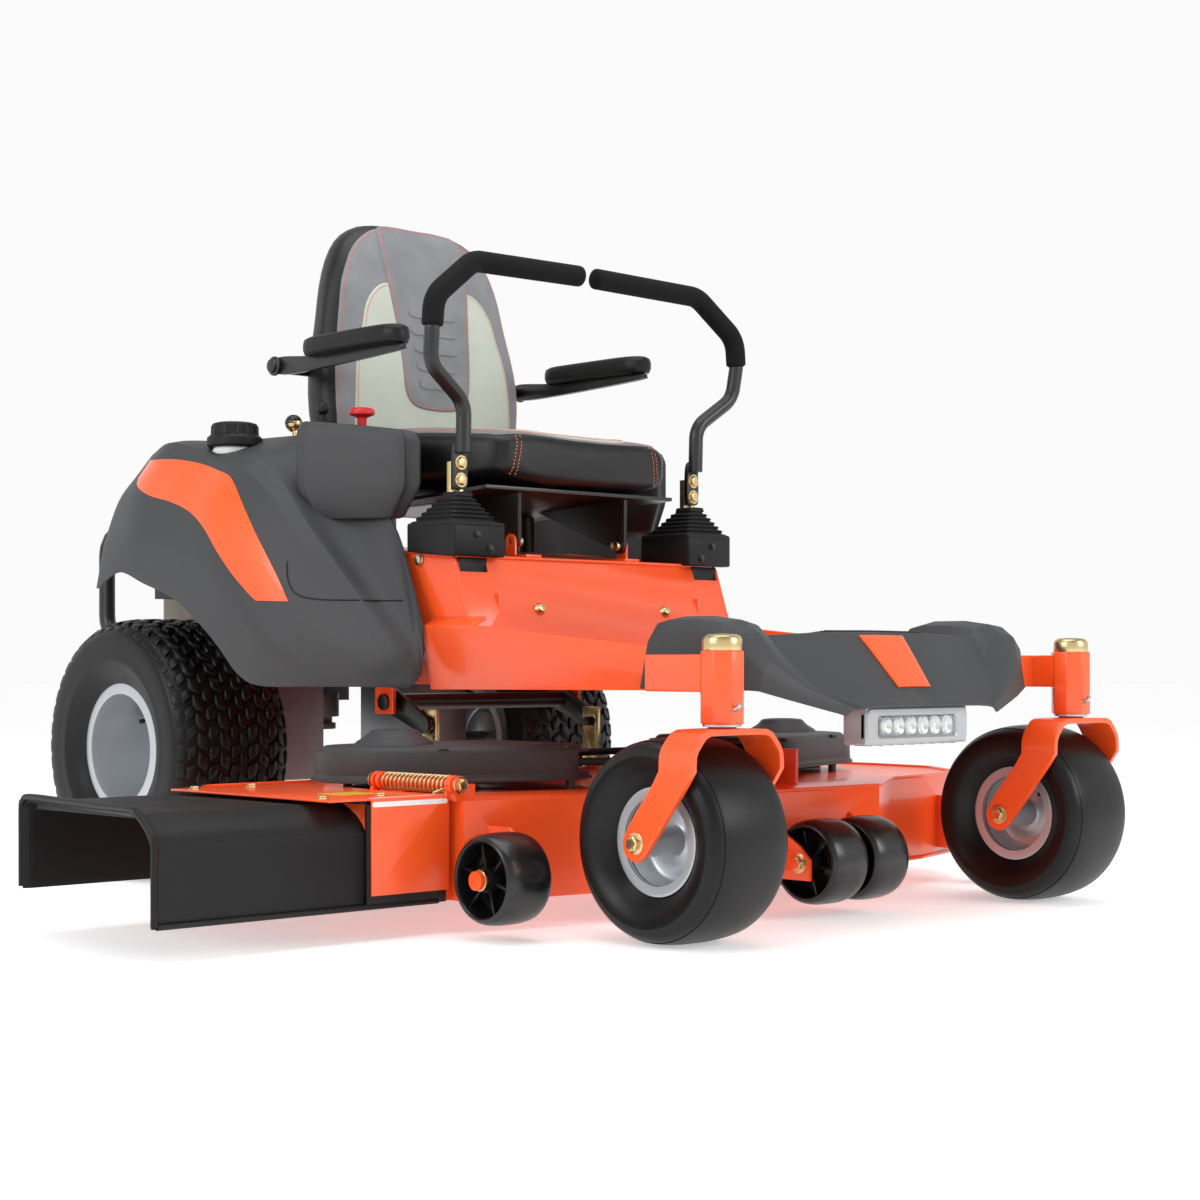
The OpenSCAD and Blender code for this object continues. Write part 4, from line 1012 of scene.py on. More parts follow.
# ---------- caster forks ----------
# Flat bar bent over the wheel, with its legs swept back to the axle bolt, welded to the spindle
# that turns in the tube on the end of the beam.
for side, word in ((1, "left"), (-1, "right")):
    spindle = (side * 403, -1361)
    crown = [(0, 288.3), (30, 288.3), (54, 287.6), (64, 284), (72, 276), (80, 266.5), (84, 258), (84.9, 246),
             (84.9, 238)]
    leg = [(238, -31, 31), (222, -20, 41), (205, -7, 54), (190, 5, 66), (170, 20, 82), (155, 32, 92),
           (144, 41, 98),
           (132, 50, 97.5), (122, 59, 92), (116.5, 67, 82), (115, 72, 77)]
    half = [(x, z, -31, 31) for x, z in crown] + [(84.9, z, a, b) for z, a, b in leg[1:]]
    line = [(-x, z, a, b) for x, z, a, b in reversed(half[1:])] + half
    points, faces = [], []
    for x, z, front, rear in line:
        for t in range(7):
            points.append(at(spindle[0] + x, spindle[1] + front + (rear - front) * t / 6, z))
    faces = [[i * 7 + t, i * 7 + t + 1, (i + 1) * 7 + t + 1,
              (i + 1) * 7 + t] for i in range(len(line) - 1) for t in range(6)]
    fork = new_mesh(f"{word}_fork_bar", points, faces)
    wall = fork.modifiers.new("wall", "SOLIDIFY")
    wall.thickness = 0.008
    wall.offset = 0
    settle(fork)
    fit(soften(fork, 1.8, 3, 40), f"{word}_fork", orange_coat, f"{word}_fork")

    def upright(name, profile, steps=40, lean=spindle):
        rings = [[at(lean[0] + r * math.cos(2 * math.pi * k / steps),
                     lean[1] + r * math.sin(2 * math.pi * k / steps), z)
                  for k in range(steps)] for r, z in profile]
        return loft(name, rings)

    stem = upright(f"{word}_spindle_stem", [(20, 288), (20, 292.6), (18, 294.6), (15, 296.2), (12.6, 297.6),
                                            (12.6, 404)])
    fit(soften(stem, 0, angle=35), f"{word}_fork", orange_coat)
    seal = upright(f"{word}_spindle_seal", [(23, 294.6), (26, 295), (26, 298), (22, 298.2)])
    fit(soften(seal, 0, angle=35), f"{word}_fork", bright_zinc)
    for s in (-1, 1):
        bolt(f"{word}_axle_bolt_{'in' if s * side < 0 else 'out'}", at(spindle[0] + s * 88.9, -1287, 140),
             Vector((s, 0, 0)), 9.5, zinc_plate, f"{word}_fork", 9)
    axle = turned(f"{word}_caster_axle", [(0.3, -89), (8, -89), (8, 89), (0.3, 89)],
                  at(spindle[0], -1287, 140), 28)
    fit(soften(axle, 0, angle=35), f"{word}_fork", zinc_plate)
    nipple = [at(spindle[0] - 6, -1361 - 28 - dy, 318 + dz) for dy, dz in ((-2, 0), (4, 1), (8, 4), (11, 8))]
    grease = swept_tube(f"{word}_grease_nipple", nipple, lambda t: 4 - 1.4 * t + (0.9 if t > 0.8 else 0), 14)
    fit(soften(grease, 0), "chassis", bright_zinc)
finished("spindle_caps", "caster_caps", zinc_plate, 0.6)

# ---------- seat box ----------
# Folded orange sheet with open slots for the control arms, and ears that the seat pan hinges on.
finished("folded_seat_box", "seat_box", orange_coat, 1.5)
for side, word in ((1, "left"), (-1, "right")):
    hem = rounded_route([at(side * 300, -733, 404), at(side * 300, -684, 548), at(side * 300, -302, 583)], 14)
    bead = swept_tube(f"{word}_seat_box_hem", evenly(hem, 12), 2.6, 12)
    fit(soften(bead, 0, angle=60), "chassis", orange_coat)
    bolt(f"{word}_seat_box_screw", at(side * 302, -598, 545), Vector((side, 0, 0)), 6.5, bright_zinc,
         "chassis", 5)
lip = swept_tube("seat_box_front_lip", [at(x, -686, 548.5) for x in range(-298, 299, 12)], 3.0, 14)
fit(soften(lip, 0, angle=60), "chassis", orange_coat)

# ---------- control boots ----------
# Rubber bellows over the control arms, each clipped into a moulded base that bolts to the box.
bellows_rubber, tree, main, place = new_finish("bellows_rubber", "soft_rubber", {"Specular IOR Level": 0.3})
patch, mix = mottle(tree, main, place, ("#0c0c0d", "#131314"), 25)
sheen_change(tree, main, patch.outputs["Fac"], 0.42, 0.6)
bloom = add(tree, "TexNoise", {"Scale": 1000 / 2.5, "Detail": 4}, {"Vector": place})
relief(tree, main, bloom.outputs["Fac"], 0.08, 0.4)


def pillow_ring(x, y, z, half_x, half_y, corner, parts=6):
    """A rounded rectangle at a level, as a ring of points."""
    ring = []
    for sx, sy, start in ((1, 1, 0), (-1, 1, 90), (-1, -1, 180), (1, -1, 270)):
        for k in range(parts + 1):
            turn = math.radians(start + 90 * k / parts)
            ring.append(at(x + sx * (half_x - corner) + corner * math.cos(turn),
                           y + sy * (half_y - corner) + corner * math.sin(turn), z))
    return ring


for side, word in ((1, "left"), (-1, "right")):
    x, y = side * 268, -646
    rings = [pillow_ring(x, y, 602, 50, 56, 10)]
    for k in range(6):
        z = 602 + k * 7.2
        half = 50 - k * 5.2
        deep = 56 - k * 5.6
        rings += [pillow_ring(x, y - k * 1.2, z + 1.6, half, deep, 10),
                  pillow_ring(x, y - k * 1.2, z + 3.4, half - 1, deep - 1, 9),
                  pillow_ring(x, y - k * 1.2, z + 5.2, half - 7, deep - 7, 7),
                  pillow_ring(x, y - k * 1.2, z + 6.8, half - 7, deep - 7, 7)]
    rings += [pillow_ring(x, y - 8, 646, 17, 22, 6), pillow_ring(x, y - 8, 652, 16, 21, 6),
              pillow_ring(x, y - 8, 653, 14, 19, 5)]
    boot = loft(f"{word}_boot_bellows", rings)
    soften(boot, 0, angle=55)
    boot.data.materials.append(bellows_rubber)
    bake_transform(boot)
    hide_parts(f"{word}_boot")
    for k, z in enumerate((561, 583)):
        bolt(f"{word}_boot_base_screw_{k}", at(side * 257 + side * 14 * (k * 2 - 1), -706.5, z),
             Vector((0, -1, 0)), 4.5,
             black_coat, "chassis", 4)
    flange = loft(f"{word}_boot_flange", [pillow_ring(side * 265, -646, 597, 50, 58, 8),
                                          pillow_ring(side * 265, -646, 597.5, 54, 61, 8),
                                         pillow_ring(side * 265, -646, 602, 54, 61, 8),
                                         pillow_ring(side * 265, -646, 603.5, 52, 59, 7)])
    fit(soften(flange, 0.6, angle=40), "chassis", moulded_black)
# Painted shade: a black plate in each open control-arm slot stands in for the dark inside of the slot.
for side, word in ((1, "left"), (-1, "right")):
    shade_plate = loft(f"{word}_slot_shade_plate", [[at(side * x, y, z) for x,
                                           z in ((236, 498), (298, 498), (298, 547), (236, 547))]
                                          for y in (-689, -687)])
    fit(soften(shade_plate, 0.4), "chassis", moulded_black)
finished("boot_base_mouldings", "boot_bases", moulded_black, 3)

# ---------- headlight ----------
# Die-cast housing in silver paint under the footrest's nose: a clear lens over six small lamps.
silver_casting, tree, main, place = new_finish("silver_painted_casting", "lamp",
                                               {"Metallic": 0.35, "Coat Weight": 0.2})
patch, mix = mottle(tree, main, place, ("#a9acae", "#b6b9bb"), 50)
sheen_change(tree, main, patch.outputs["Fac"], 0.34, 0.46)
clear_lens, tree, main, place = new_finish("polycarbonate_lens", "lamp", {
    "Transmission Weight": 0.9, "IOR": 1.58, "Coat Weight": 0.3})
patch, mix = mottle(tree, main, place, ("#eef3f5", "#f6f8f9"), 40)
sheen_change(tree, main, patch.outputs["Fac"], 0.05, 0.12)
reflector, tree, main, place = new_finish("chromed_reflector", "lamp", {"Metallic": 1.0})
patch, mix = mottle(tree, main, place, ("#d9dcdf", "#eceff1"), 12)
sheen_change(tree, main, patch.outputs["Fac"], 0.08, 0.2)
lamp_chip, tree, main, place = new_finish("lamp_chip", "lamp", {"Roughness": 0.3, "Emission Strength": 0.6})
patch, mix = mottle(tree, main, place, ("#f3edc9", "#fbf7dd"), 3)
tree.links.new(mix.outputs[2], main.inputs["Emission Color"])
finished("headlight_housing", "headlight", silver_casting, 4)


def bezel_ring(half_x, low, high, y, corner=6, parts=5):
    """A rounded rectangle standing upright across the machine, as a ring of points."""
    ring = []
    mid, half_z = (low + high) / 2, (high - low) / 2
    for sx, sz, start in ((1, 1, 0), (-1, 1, 90), (-1, -1, 180), (1, -1, 270)):
        for k in range(parts + 1):
            turn = math.radians(start + 90 * k / parts)
            ring.append(at(sx * (half_x - corner) + corner * math.cos(turn), y,
                           mid + sz * (half_z - corner) + corner * math.sin(turn)))
    return ring


bezel = loft("headlight_bezel", [bezel_ring(118, 262, 316, -1364, 10), bezel_ring(118, 262, 316, -1371, 10),
                                 bezel_ring(115, 265, 313, -1374, 9), bezel_ring(93, 271, 306, -1374, 7),
                                 bezel_ring(90, 273, 304, -1372, 6), bezel_ring(88, 274, 303, -1364, 5)])
fit(soften(bezel, 0, angle=35), "chassis", silver_casting)
for k in range(6):
    x = -70 + 28 * k
    cup = [[at(x + r * math.cos(2 * math.pi * i / 28), y,
               288.5 + r * math.sin(2 * math.pi * i / 28)) for i in range(28)]
           for r, y in ((13.4, -1364.2), (13.4, -1369.5), (12.4, -1369.5), (9, -1367.2), (4.6, -1365.4),
                        (4.4, -1364.4))]
    dish = loft(f"lamp_reflector_{k}", cup)
    fit(soften(dish, 0, angle=35), "chassis", reflector)
    chip = loft(f"lamp_chip_{k}", [[at(x + r * math.cos(2 * math.pi * i / 16), y,
                                       288.5 + r * math.sin(2 * math.pi * i / 16))
                                    for i in range(16)] for r,
                                    y in ((4, -1365.6), (3.8, -1367), (2, -1368.2))])
    fit(soften(chip, 0, angle=50), "chassis", lamp_chip)
lens = loft("headlight_lens", [bezel_ring(88, 274, 303, -1369.8, 5), bezel_ring(88, 274, 303, -1371.8, 5),
                               bezel_ring(86, 276, 301, -1372.8, 4)])
fit(soften(lens, 0, angle=40), "chassis", clear_lens)
for k in range(9):
    x = -96 + 24 * k
    fin = loft(f"headlight_fin_{k}", [[at(x + a, y, z) for a,
                                       y in ((-1.5, -1334), (1.5, -1334), (1.5, -1366), (-1.5, -1366))]
                                      for z in (260.4, 262.4)])
    fit(soften(fin, 0.5), "chassis", silver_casting)

# ---------- footrest badge, pad and mat ----------
# A plain orange plate on the footrest's front slope and a ribbed black pad above it, both pressed
# into the moulding, and a ribbed rubber mat on the floor behind.
cover_skins = {side: skin_of(bpy.data.objects[f"{word}_footrest_moulding"]) for side,
               word in ((1, "left"), (-1, "right"))}
slope = Vector((0, 0.7, -0.714))


def wrapped(name, corners, across_parts, along_parts, lift_mm, thick_mm, finish):
    """A thin plate laid on the footrest over a four-cornered patch, in mm."""
    points = []
    for i in range(along_parts + 1):
        for k in range(across_parts + 1):
            t, u = i / along_parts, k / across_parts
            a = corners[0] * (1 - u) + corners[1] * u
            b = corners[3] * (1 - u) + corners[2] * u
            p = a * (1 - t) + b * t
            points.append(lay(cover_skins[1 if p.x > 0 else -1], at(*p), slope, lift_mm))
    wide = across_parts + 1
    faces = [[i * wide + k, i * wide + k + 1, (i + 1) * wide + k + 1, (i + 1) * wide + k]
             for i in range(along_parts) for k in range(across_parts)]
    obj = new_mesh(name, points, faces)
    wall = obj.modifiers.new("wall", "SOLIDIFY")
    wall.thickness = thick_mm / 1000
    wall.offset = 0
    settle(obj)
    return fit(soften(obj, 0.4, 2, 40), "chassis", finish)


wrapped("badge_plate", [Vector(v) for v in ((-50, -1304, 420), (50, -1304, 420), (37, -1366, 344),
                                            (-37, -1366, 344))],
        11, 8, 1.2, 2.4, decal_coat)
wrapped("footrest_pad_base", [Vector(v) for v in ((-112, -1252, 420), (112, -1252, 420), (112, -1292, 424),
                                                  (-112, -1292, 424))],
        23, 6, 0.6, 1.6, bellows_rubber)
for k in range(5):
    y, z = -1256 - 8 * k, 420 + 0.9 * k
    reach = 108
    rib = swept_tube(f"footrest_pad_rib_{k}", [lay(cover_skins[1 if x > 0 else -1], at(x, y, z), slope, 1.6)
                                               for x in [-reach + 2 * reach * i / 25 for i in range(26)]],
                                               2.2, 10)
    fit(soften(rib, 0, angle=60), "chassis", bellows_rubber)
mat = loft("floor_mat", [pillow_ring(0, -945, 399.2, 226, 188, 18), pillow_ring(0, -945, 401.6, 226, 188, 18),
                         pillow_ring(0, -945, 402.4, 224.5, 186.5, 17)])
fit(soften(mat, 0, angle=40), "chassis", bellows_rubber)
for k in range(30):
    y = -1118 + 12 * k
    rib = loft(f"mat_rib_{k}", [pillow_ring(0, y, z, half, deep, corner) for z, half, deep, corner in
                                ((402, 214, 3.2, 3), (404.2, 213.6, 2.8, 2.7), (405, 213, 2, 1.9))])
    fit(soften(rib, 0, angle=50), "chassis", bellows_rubber)

# ---------- deck ----------
# Fabricated steel deck: top, rolled side walls and welded ears for the chute rod, powder-coated.
finished("deck_weldment", "deck_shell", orange_coat, 1.6)
DECK_LINE = ((-170, -1163), (170, -1163), (340, -1050), (440, -1035), (600, -985), (688, -860), (700, -715),
             (688, -560),
             (620, -462), (-620, -462), (-697, -560))
route = [at(x, y, 187) for x, y in DECK_LINE]
rim = swept_tube("deck_top_bead", evenly(rounded_route(route, 40), 14), 2.8, 12)
fit(soften(rim, 0, angle=60), "deck", orange_coat)
foot = swept_tube("deck_lower_hem", evenly(rounded_route([at(x, y, 48.5) for x, y in DECK_LINE], 40), 14),
                  3.4, 12)
fit(soften(foot, 0, angle=60), "deck", orange_coat)
finished("chute_hinge_plate", "chute_plate", orange_coat, 0.8)
reflective, tree, main, place = new_finish("white_reflective_film", "orange_paint",
                                           {"Roughness": 0.25, "Coat Weight": 0.5})
mottle(tree, main, place, ("#f4f4f2", "#fbfbfa"), 20)
label_paint, tree, main, place = new_finish("yellow_label_film", "orange_paint",
                                            {"Roughness": 0.35, "Coat Weight": 0.3})
mottle(tree, main, place, ("#f2c512", "#f6cf2a"), 30)


def film(name, corners, normal, finish, body, thick_mm=0.4):
    """A plain rectangle of film on a flat face, rounded at its corners."""
    a, b, c, d = corners
    ring = []
    for p, q, r in ((d, a, b), (a, b, c), (b, c, d), (c, d, a)):
        ring += [q + (p - q).normalized() * 0.003, q + ((p - q).normalized() + (r - q).normalized()) * 0.0009,
                 q + (r - q).normalized() * 0.003]
    obj = loft(name, [[p + normal * t / 1000 for p in ring] for t in (-0.1, thick_mm)])
    return fit(soften(obj, 0, angle=40), body, finish)


up, front = Vector((0, 0, 1)), Vector((0, -1, 0))
film("chute_edge_stripe", [at(-698, -984.5, 195.1), at(-566, -984.5, 195.1), at(-566, -977, 195.1),
                           at(-698, -977, 195.1)], up,
     reflective, "chute")
film("chute_front_stripe", [at(-699, -988.1, 183), at(-567, -988.1, 183), at(-567, -988.1, 190),
                            at(-699, -988.1, 190)], front,
     reflective, "chute")
film("plain_notice_white", [at(-545, -900, 186.2), at(-470, -925, 186.2), at(-462, -888, 186.2),
                            at(-540, -862, 186.2)], up,
     reflective, "deck")
film("plain_notice_yellow", [at(-690, -905, 195.2), at(-625, -905, 195.2), at(-625, -850, 195.2),
                             at(-690, -850, 195.2)], up,
     label_paint, "chute")

# Coil spring wound round the hinge rod, which holds the deflector down.
coil = []
turns, start, stop = 15, -985, -842
for i in range(turns * 20 + 1):
    turn = 2 * math.pi * i / 20
    y = start + (stop - start) * i / (turns * 20)
    coil.append(at(-560 + 11.5 * math.cos(turn), y, 209 + 11.5 * math.sin(turn)))
coil = [at(-590, -985, 198)] + coil + [at(-534, -842, 196)]
spring = swept_tube("chute_spring", coil, 1.9, 10)
fit(soften(spring, 0, angle=60), "deck", zinc_plate)
for y, way in ((-1008, -1), (-815, 1)):
    bolt(f"hinge_rod_nut_{-y}", at(-560, y, 209), Vector((0, way, 0)), 8, zinc_plate, "deck", 8)

# ---------- discharge deflector ----------
# Moulded black polypropylene, 5 mm thick, with a bead round its open end: a flat top that rolls
# down to a deep front wall and a shallower rear one.
DEFLECTOR = ((-980, 45), (-980, 95), (-980, 148), (-968, 164), (-948, 178), (-926, 187), (-840, 187),
             (-720, 187), (-600, 187),
             (-586, 184), (-580, 174), (-580, 120), (-580, 64))
rows = []
for share in (0, 0.02, 0.06, 0.35, 0.7, 1):
    flare = 5 if share == 0 else 2 if share == 0.02 else 0
    row = []
    for number, (y, z) in enumerate(DEFLECTOR):
        outer = -1041 + (y + 980) * 0.1125
        away = (0, -flare) if number < 3 else (flare, 0) if number < 9 else (0, flare)
        row.append((outer + (-704 - outer) * share, y + away[1], z + away[0]))
    rows.append(row)
deflector = shell("deflector_moulding", rows, (2, 5, 8), 4, 5, 1, 1.2)
fit(deflector, "chute", moulded_black, "chute_deflector")
end_line = [at(-1042 + (y + 980) * 0.1125, y - (6 if y < -960 else -6 if y > -590 else 0),
               z + (6 if -960 <= y <= -590 else 3))
            for y, z in DEFLECTOR]
bead = swept_tube("deflector_bead", evenly(spline(end_line, 6), 6), 4.6, 12)
fit(soften(bead, 0, angle=60), "chute", moulded_black)
tail = loft("deflector_front_tail", [[at(x, y, z) for y,
                                      z in ((-984.6, 45), (-979.6, 45), (-979.6, 186), (-984.6, 186))]
                                     for x in (-706, -566)])
fit(soften(tail, 1.2), "chute", moulded_black)
shelf = loft("deflector_hinge_leaf", [[at(x, y, z) for x,
                                       y in ((-712, -978), (-606, -978), (-606, -600), (-712, -600))]
                                      for z in (187.4, 191.8)])
fit(soften(shelf, 1.0), "chute", moulded_black)
hem = swept_tube("deflector_front_hem", [at(x, -982.5, 47) for x in range(-1036, -569, 12)], 4.0, 14)
fit(soften(hem, 0, angle=60), "chute", moulded_black)
for k in range(5):
    x = -990 + 62 * k
    rib = loft(f"deflector_rib_{k}", [[at(x + a, y, z) for a,
                                       y in ((-1.6, -926), (1.6, -926), (1.6, -606), (-1.6, -606))]
                                      for z in (176, 187.5)])
    fit(soften(rib, 0.8), "chute", moulded_black)
for x in (-655, -755):
    for y in (-950, -640):
        bolt(f"deflector_bolt_{-x}_{-y}", at(x, y, 195), up, 6, zinc_plate, "chute", 5)

# ---------- belt covers ----------
# Grey moulded covers over each spindle's pulley, stepped up to a domed cup, screwed to the deck.
finished("belt_cover_mouldings", "belt_covers", moulded_grey, 3)


def cover_outline(side, grow, z, parts=40):
    """The rounded outline of a belt cover, grown or shrunk, as a ring of points."""
    circles = ((-445, -715, 122), (-250, -820, 84), (-250, -690, 84))
    ring = []
    for k in range(parts * 2):
        turn = math.pi * k / parts
        way = (math.cos(turn), math.sin(turn))
        x, y, r = max(circles, key=lambda c: c[0] * way[0] + c[1] * way[1] + c[2])
        ring.append(at(-side * (x + (r + grow) * way[0]), y + (r + grow) * way[1], z))
    return ring


for side, word in ((1, "left"), (-1, "right")):
    step = loft(f"{word}_belt_cover_step", [cover_outline(side, g, z) for g, z in
                                            ((-10, 245), (-12, 250), (-16, 253), (-40, 254.5), (-70, 255),
                                             (-80, 255))])
    fit(soften(step, 0, angle=50), "deck", moulded_grey)
    skirt = loft(f"{word}_belt_cover_lip", [cover_outline(side, g, z) for g, z in
                                            ((2, 200.5), (5, 201), (5, 204), (1.5, 206), (0.5, 212))])
    fit(soften(skirt, 0, angle=50), "deck", moulded_grey)
    dome = [[at(side * 445 + r * math.cos(2 * math.pi * k / 56), -715 + r * math.sin(2 * math.pi * k / 56), z)
             for k in range(56)] for r, z in ((62, 254), (60, 257), (57, 260), (50, 264), (44, 268),
                                              (40, 272), (38, 275),
                                              (34, 277), (20, 278.4), (2, 278.8))]
    cup = loft(f"{word}_belt_cover_cup", dome)
    fit(soften(cup, 0, angle=50), "deck", moulded_grey)
    for x, y in ((side * 445, -833), (side * 250, -892), (side * 445, -597), (side * 250, -618)):
        bolt(f"{word}_cover_screw_{int(abs(x))}_{int(-y)}", at(x, y, 246), up, 6, black_coat, "deck", 6)

# ---------- anti-scalp rollers ----------
# Turned black nylon with a deep spoked dish at each end, on zinc-plated bolts through brackets.
nylon, tree, main, place = new_finish("black_nylon", "black_plastic", {"Specular IOR Level": 0.5})
patch, mix = mottle(tree, main, place, ("#0f0f10", "#161617"), 40)
sheen_change(tree, main, patch.outputs["Fac"], 0.22, 0.34)
scuff = add(tree, "TexNoise", {"Scale": 1000 / 6, "Detail": 5}, {"Vector": place})
relief(tree, main, scuff.outputs["Fac"], 0.06, 0.4)
for name, body, node, spans, y in (("left_scalp_roller", "left_roller", "left_roller", ((522, 602),), -1100),
                                   ("right_scalp_roller", "right_roller", "right_roller", ((-602, -522),),
                                    -1100),
                                   ("centre_scalp_roller", "centre_rollers", "centre_rollers",
                                    ((8, 88), (-88, -8)), -1230.5)):
    for k, (x0, x1) in enumerate(spans):
        middle = at((x0 + x1) / 2, y, 85)
        half = (x1 - x0) / 2
        body_line = [(9, half - 6), (17, half - 6), (18, half - 9), (18, 8), (26, 5), (42, 5), (48, 12),
                     (50, half - 8),
                     (52, half - 1), (54.5, half), (58, half - 2.5), (61, half - 8), (63, half - 20),
                     (63.5, half - 32)]
        line = smooth_profile(body_line[4:], 3)
        line = body_line[:4] + line
        line = line + [(r, -x) for r, x in reversed(line)]
        roll = turned(f"{name}_{k}", line, middle, 80)
        fit(soften(roll, 0, angle=38), body, nylon, *((node,) if k == 0 else ()))
        for end in (-1, 1):
            for spoke in range(6):
                turn = math.radians(60 * spoke + 15)
                across_way = Vector((0, math.cos(turn), math.sin(turn)))
                third = Vector((0, -math.sin(turn), math.cos(turn)))
                fin = [[middle + Vector((end * out, 0, 0)) / 1000 + across_way * r / 1000 + third * w / 1000
                        for r, w in ((17, -2.2), (50, -1.8), (50, 1.8), (17, 2.2))] for out in (4, half - 13)]
                vane = loft(f"{name}_{k}_vane_{spoke}_{'out' if end > 0 else 'in'}", fin)
                fit(soften(vane, 0.8), body, nylon)
for side in (-1, 1):
    bolt(f"side_roller_bolt_{'l' if side > 0 else 'r'}", at(side * 603, -1100, 85), Vector((side, 0, 0)), 9.5,
         zinc_plate, "deck", 8)
    bolt(f"centre_roller_bolt_{'l' if side > 0 else 'r'}", at(side * 99.5, -1230.5, 85), Vector((side, 0, 0)),
         9.5, zinc_plate,
         "deck", 9)
    bolt(f"roller_bracket_bolt_{'l' if side > 0 else 'r'}", at(side * 518, -1040, 118), Vector((side, 0, 0)),
         7, zinc_plate,
         "deck", 6)

# ---------- blades, spindles and belt ----------
# Cast spindle housings bolted through the deck, ground steel blades below and a rubber V-belt above.
casting, tree, main, place = new_finish("bare_aluminium_casting", "cast_metal", {"Metallic": 0.85})
patch, mix = mottle(tree, main, place, ("#77797b", "#8c8e90"), 25, 5)
sheen_change(tree, main, patch.outputs["Fac"], 0.42, 0.6)
sand = add(tree, "TexNoise", {"Scale": 1000 / 1.1, "Detail": 5}, {"Vector": place})
relief(tree, main, sand.outputs["Fac"], 0.2, 0.5)
ground_steel, tree, main, place = new_finish("ground_blade_steel", "bare_steel", {"Metallic": 1.0})
patch, mix = mottle(tree, main, place, ("#5f5f61", "#7b7c7e"), 18, 5)
sheen_change(tree, main, patch.outputs["Fac"], 0.3, 0.5)
finished("spindle_castings", "spindle_housings", casting, 2)
finished("drive_belt", "deck_belt", rubber, 1.5)
for word in ("left", "centre", "right"):
    finished(f"{word}_mowing_blade", f"{word}_blade", ground_steel, 0.8)

# ---------- deck lift ----------
# A black cross shaft with arms and links that carry the deck, turned by a sprung height lever
# with a yellow-plated rod and a black ball.
finished("lift_cross_shaft", "lift_shaft", black_coat, 1.2)
finished("lift_links", "deck_links", zinc_plate, 1.2)

# ---------- engine ----------
# Upright V-twin behind the seat: finned aluminium cylinders, a black blower housing with a
# slotted screen, a steel muffler behind, and the clutch for the blades on its shaft below.
finished("engine_castings", "engine", casting, 4)
heat_steel, tree, main, place = new_finish("heat_tinted_steel", "bare_steel", {"Metallic": 1.0})
patch, mix = mottle(tree, main, place, ("#6f6a64", "#8d8578"), 60, 5)
sheen_change(tree, main, patch.outputs["Fac"], 0.35, 0.55)


def stack(name, x, y, profile, steps=72):
    """An upright turned piece: (radius, height) in mm about a place."""
    return loft(name, [[at(x + r * math.cos(2 * math.pi * k / steps),
                           y + r * math.sin(2 * math.pi * k / steps), z)
                        for k in range(steps)] for r, z in profile])


housing = stack("blower_housing", 0, 110, [(160, 560), (166, 566), (167, 580), (167, 655), (164, 668),
                                           (156, 680), (140, 694),
                                           (124, 702), (118, 703), (116, 700)])
fit(soften(housing, 0, angle=35), "chassis", moulded_black)
screen = stack("intake_screen", 0, 110, [(117, 700), (117, 708), (112, 716), (96, 721), (60, 724), (20, 725),
                                         (1, 725)])
fit(soften(screen, 0, angle=35), "chassis", moulded_black)
for k in range(36):
    turn = 2 * math.pi * k / 36
    way, third = Vector((math.cos(turn), math.sin(turn), 0)), Vector((-math.sin(turn), math.cos(turn), 0))
    centre = at(0, 110, 0)
    slat = [[centre + way * r / 1000 + third * w / 1000 + Vector((0, 0, z)) / 1000
             for w, z in ((-1.6, base), (1.6, base), (1.6, top), (-1.6, top))] for r, base, top in
            ((40, 723, 727), (98, 719, 724), (113, 710, 719), (118, 702, 710))]
    fit(soften(loft(f"screen_slat_{k}", slat), 0.4), "chassis", moulded_black)
for a in (40, 140):
    turn = math.radians(a)
    way, third = Vector((math.cos(turn), math.sin(turn), 0)), Vector((-math.sin(turn), math.cos(turn), 0))
    for k in range(9):
        out = 96 + 10.5 * k
        fin = [[at(0, 130, 0) + way * (out + d) / 1000 + third * w / 1000 + Vector((0, 0, z)) / 1000
                for w, z in ((-67, 421), (67, 421), (67, 539), (-67, 539))] for d in (0, 2.4)]
        fit(soften(loft(f"cylinder_fin_{a}_{k}", fin), 1.0), "chassis", casting)
muffler = [[at(x, 350 + 58 * k * math.cos(t), 485 + 39 * k * math.sin(t)) for t in
            [2 * math.pi * i / 40 for i in range(40)]] for x,
            k in ((-144, 0.86), (-140, 1), (-132, 1.02), (132, 1.02), (140, 1), (144, 0.86))]
fit(soften(loft("muffler_can", muffler), 0, angle=40), "chassis", heat_steel)
finished("engine_bed", "engine_deck", black_coat, 1.2)
finished("guard_tube", "engine_guard", black_coat, 0)
finished("clutch", "clutch_pulley", casting, 1.5)
finished("drive_units", "transaxles", casting, 4)
battery_case, tree, main, place = new_finish("battery_polypropylene", "black_plastic",
                                             {"Specular IOR Level": 0.4})
patch, mix = mottle(tree, main, place, ("#17181a", "#1f2023"), 70)
sheen_change(tree, main, patch.outputs["Fac"], 0.35, 0.5)
finished("battery_box", "battery", battery_case, 3)

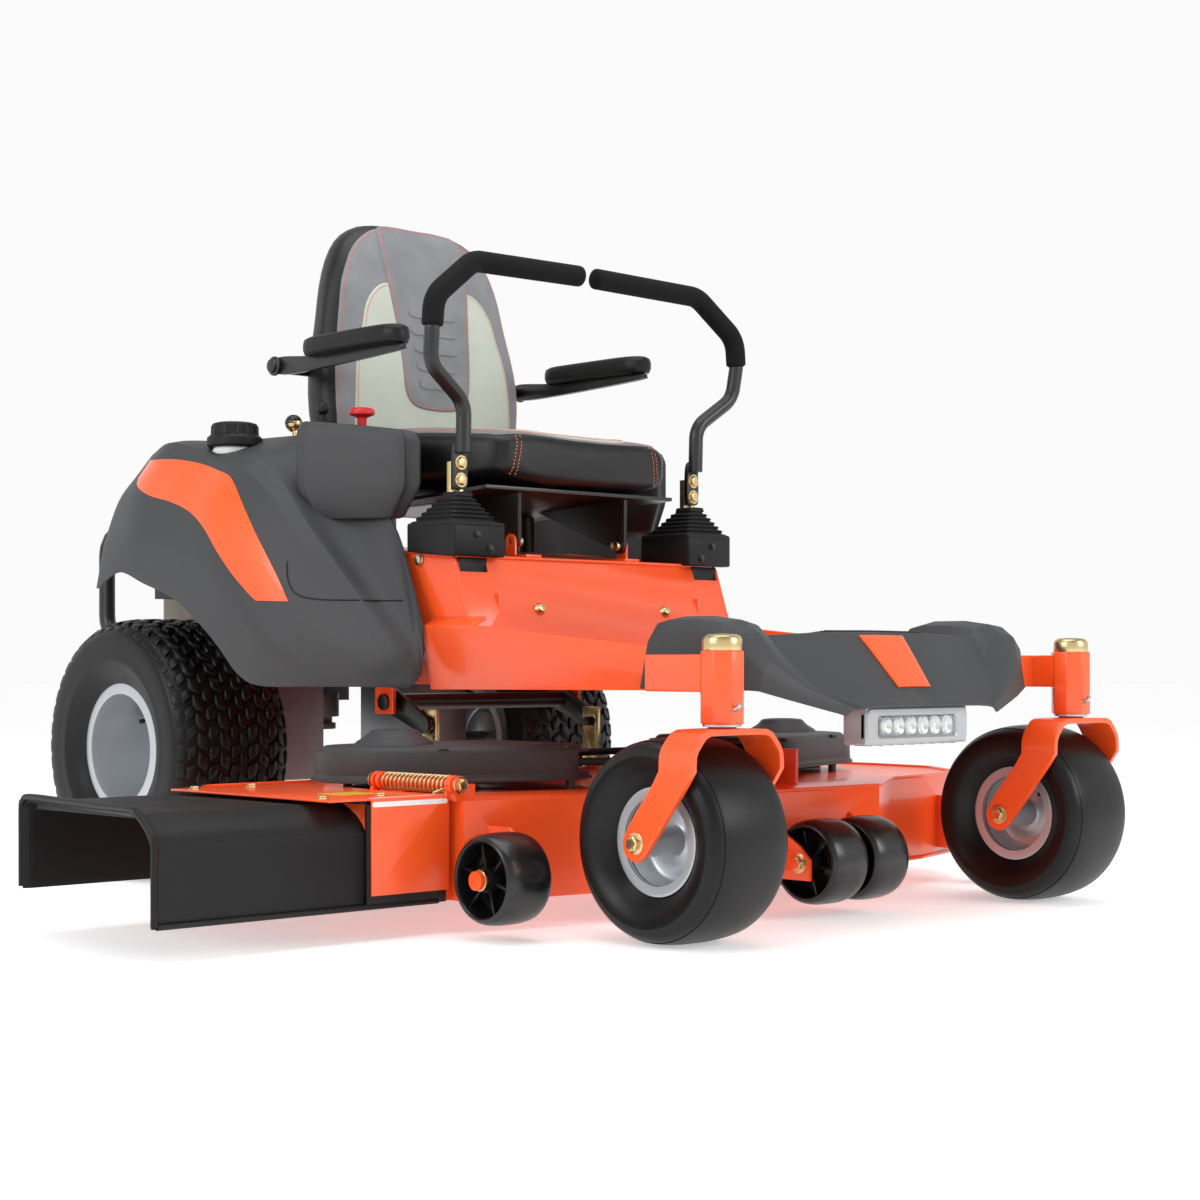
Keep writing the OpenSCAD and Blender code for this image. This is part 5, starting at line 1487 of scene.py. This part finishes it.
# ---------- fuel tank ----------
# Blown black polyethylene inside the right fender; its pale neck stands through the fender under
# a ribbed dark cap.
tank_poly, tree, main, place = new_finish("blown_black_polyethylene", "tank_plastic",
                                          {"Specular IOR Level": 0.4})
patch, mix = mottle(tree, main, place, ("#1b1b1d", "#232325"), 90)
sheen_change(tree, main, patch.outputs["Fac"], 0.45, 0.6)
white_poly, tree, main, place = new_finish("natural_polyethylene", "tank_plastic", {
    "Specular IOR Level": 0.4, "Subsurface Weight": 0.15, "Subsurface Scale": 0.01})
patch, mix = mottle(tree, main, place, ("#dededb", "#e8e8e4"), 30)
sheen_change(tree, main, patch.outputs["Fac"], 0.35, 0.5)
finished("tank_blow_moulding", "fuel_tank", tank_poly, 2.5)
collar = stack("tank_neck_collar", -360, -163, [(27, 735), (35, 735), (37, 738), (37, 750), (35, 752.5),
                                                (31, 753), (31, 746)])
fit(soften(collar, 0, angle=35), "chassis", white_poly)
grip_line = []
for r, z in ((44, 752), (47.5, 755), (48, 762), (48, 768), (45, 771), (41.5, 774), (41, 788), (38, 793),
             (30, 795.4), (12, 796), (1, 796)):
    ring = []
    for k in range(144):
        turn = 2 * math.pi * k / 144
        dip = 1.8 * max(0, math.cos(turn * 18)) if 771 < z < 794 else 0
        ring.append(at(-360 + (r - dip) * math.cos(turn), -163 + (r - dip) * math.sin(turn), z))
    grip_line.append(ring)
fit(soften(loft("fuel_cap_moulding", grip_line), 0, angle=30), "fuel_cap", moulded_black, "fuel_cap")

# ---------- hand controls ----------
# The red knob lifts to start the blades, the small black one beside it is the throttle, and the
# tall ball behind sets the cutting height.
red_knob, tree, main, place = new_finish("red_moulded_knob", "red_plastic", {"Specular IOR Level": 0.5})
patch, mix = mottle(tree, main, place, ("#c3121a", "#d0202a"), 20)
sheen_change(tree, main, patch.outputs["Fac"], 0.26, 0.36)
knob = stack("blade_clutch_knob", -296, -440, [(8, 748), (8, 784), (9, 787), (14, 789.5), (21, 792),
                                               (22, 795), (21.4, 799),
                                               (18, 802.4), (11, 803.8), (1, 804)], 56)
fit(soften(knob, 0, angle=38), "pto_knob", red_knob, "pto_knob")
collar = stack("knob_socket", -296, -440, [(19, 752), (19, 766), (17, 768.5), (11, 769), (9, 768)], 48)
fit(soften(collar, 0, angle=38), "chassis", red_knob)
finished("throttle_control", "throttle_lever", soft_black, 0.6)
finished("height_control", "height_lever", zinc_plate, 0.8)
ball = stack("height_ball", -283, -229, [(0.5, 780.2), (6, 781.4), (10.5, 784.6), (14, 789.6), (15.4, 795),
                                         (14.4, 800.6), (11, 806),
                                         (6, 809.4), (0.5, 810.4)], 48)
fit(soften(ball, 0, angle=60), "height_lever", nylon)
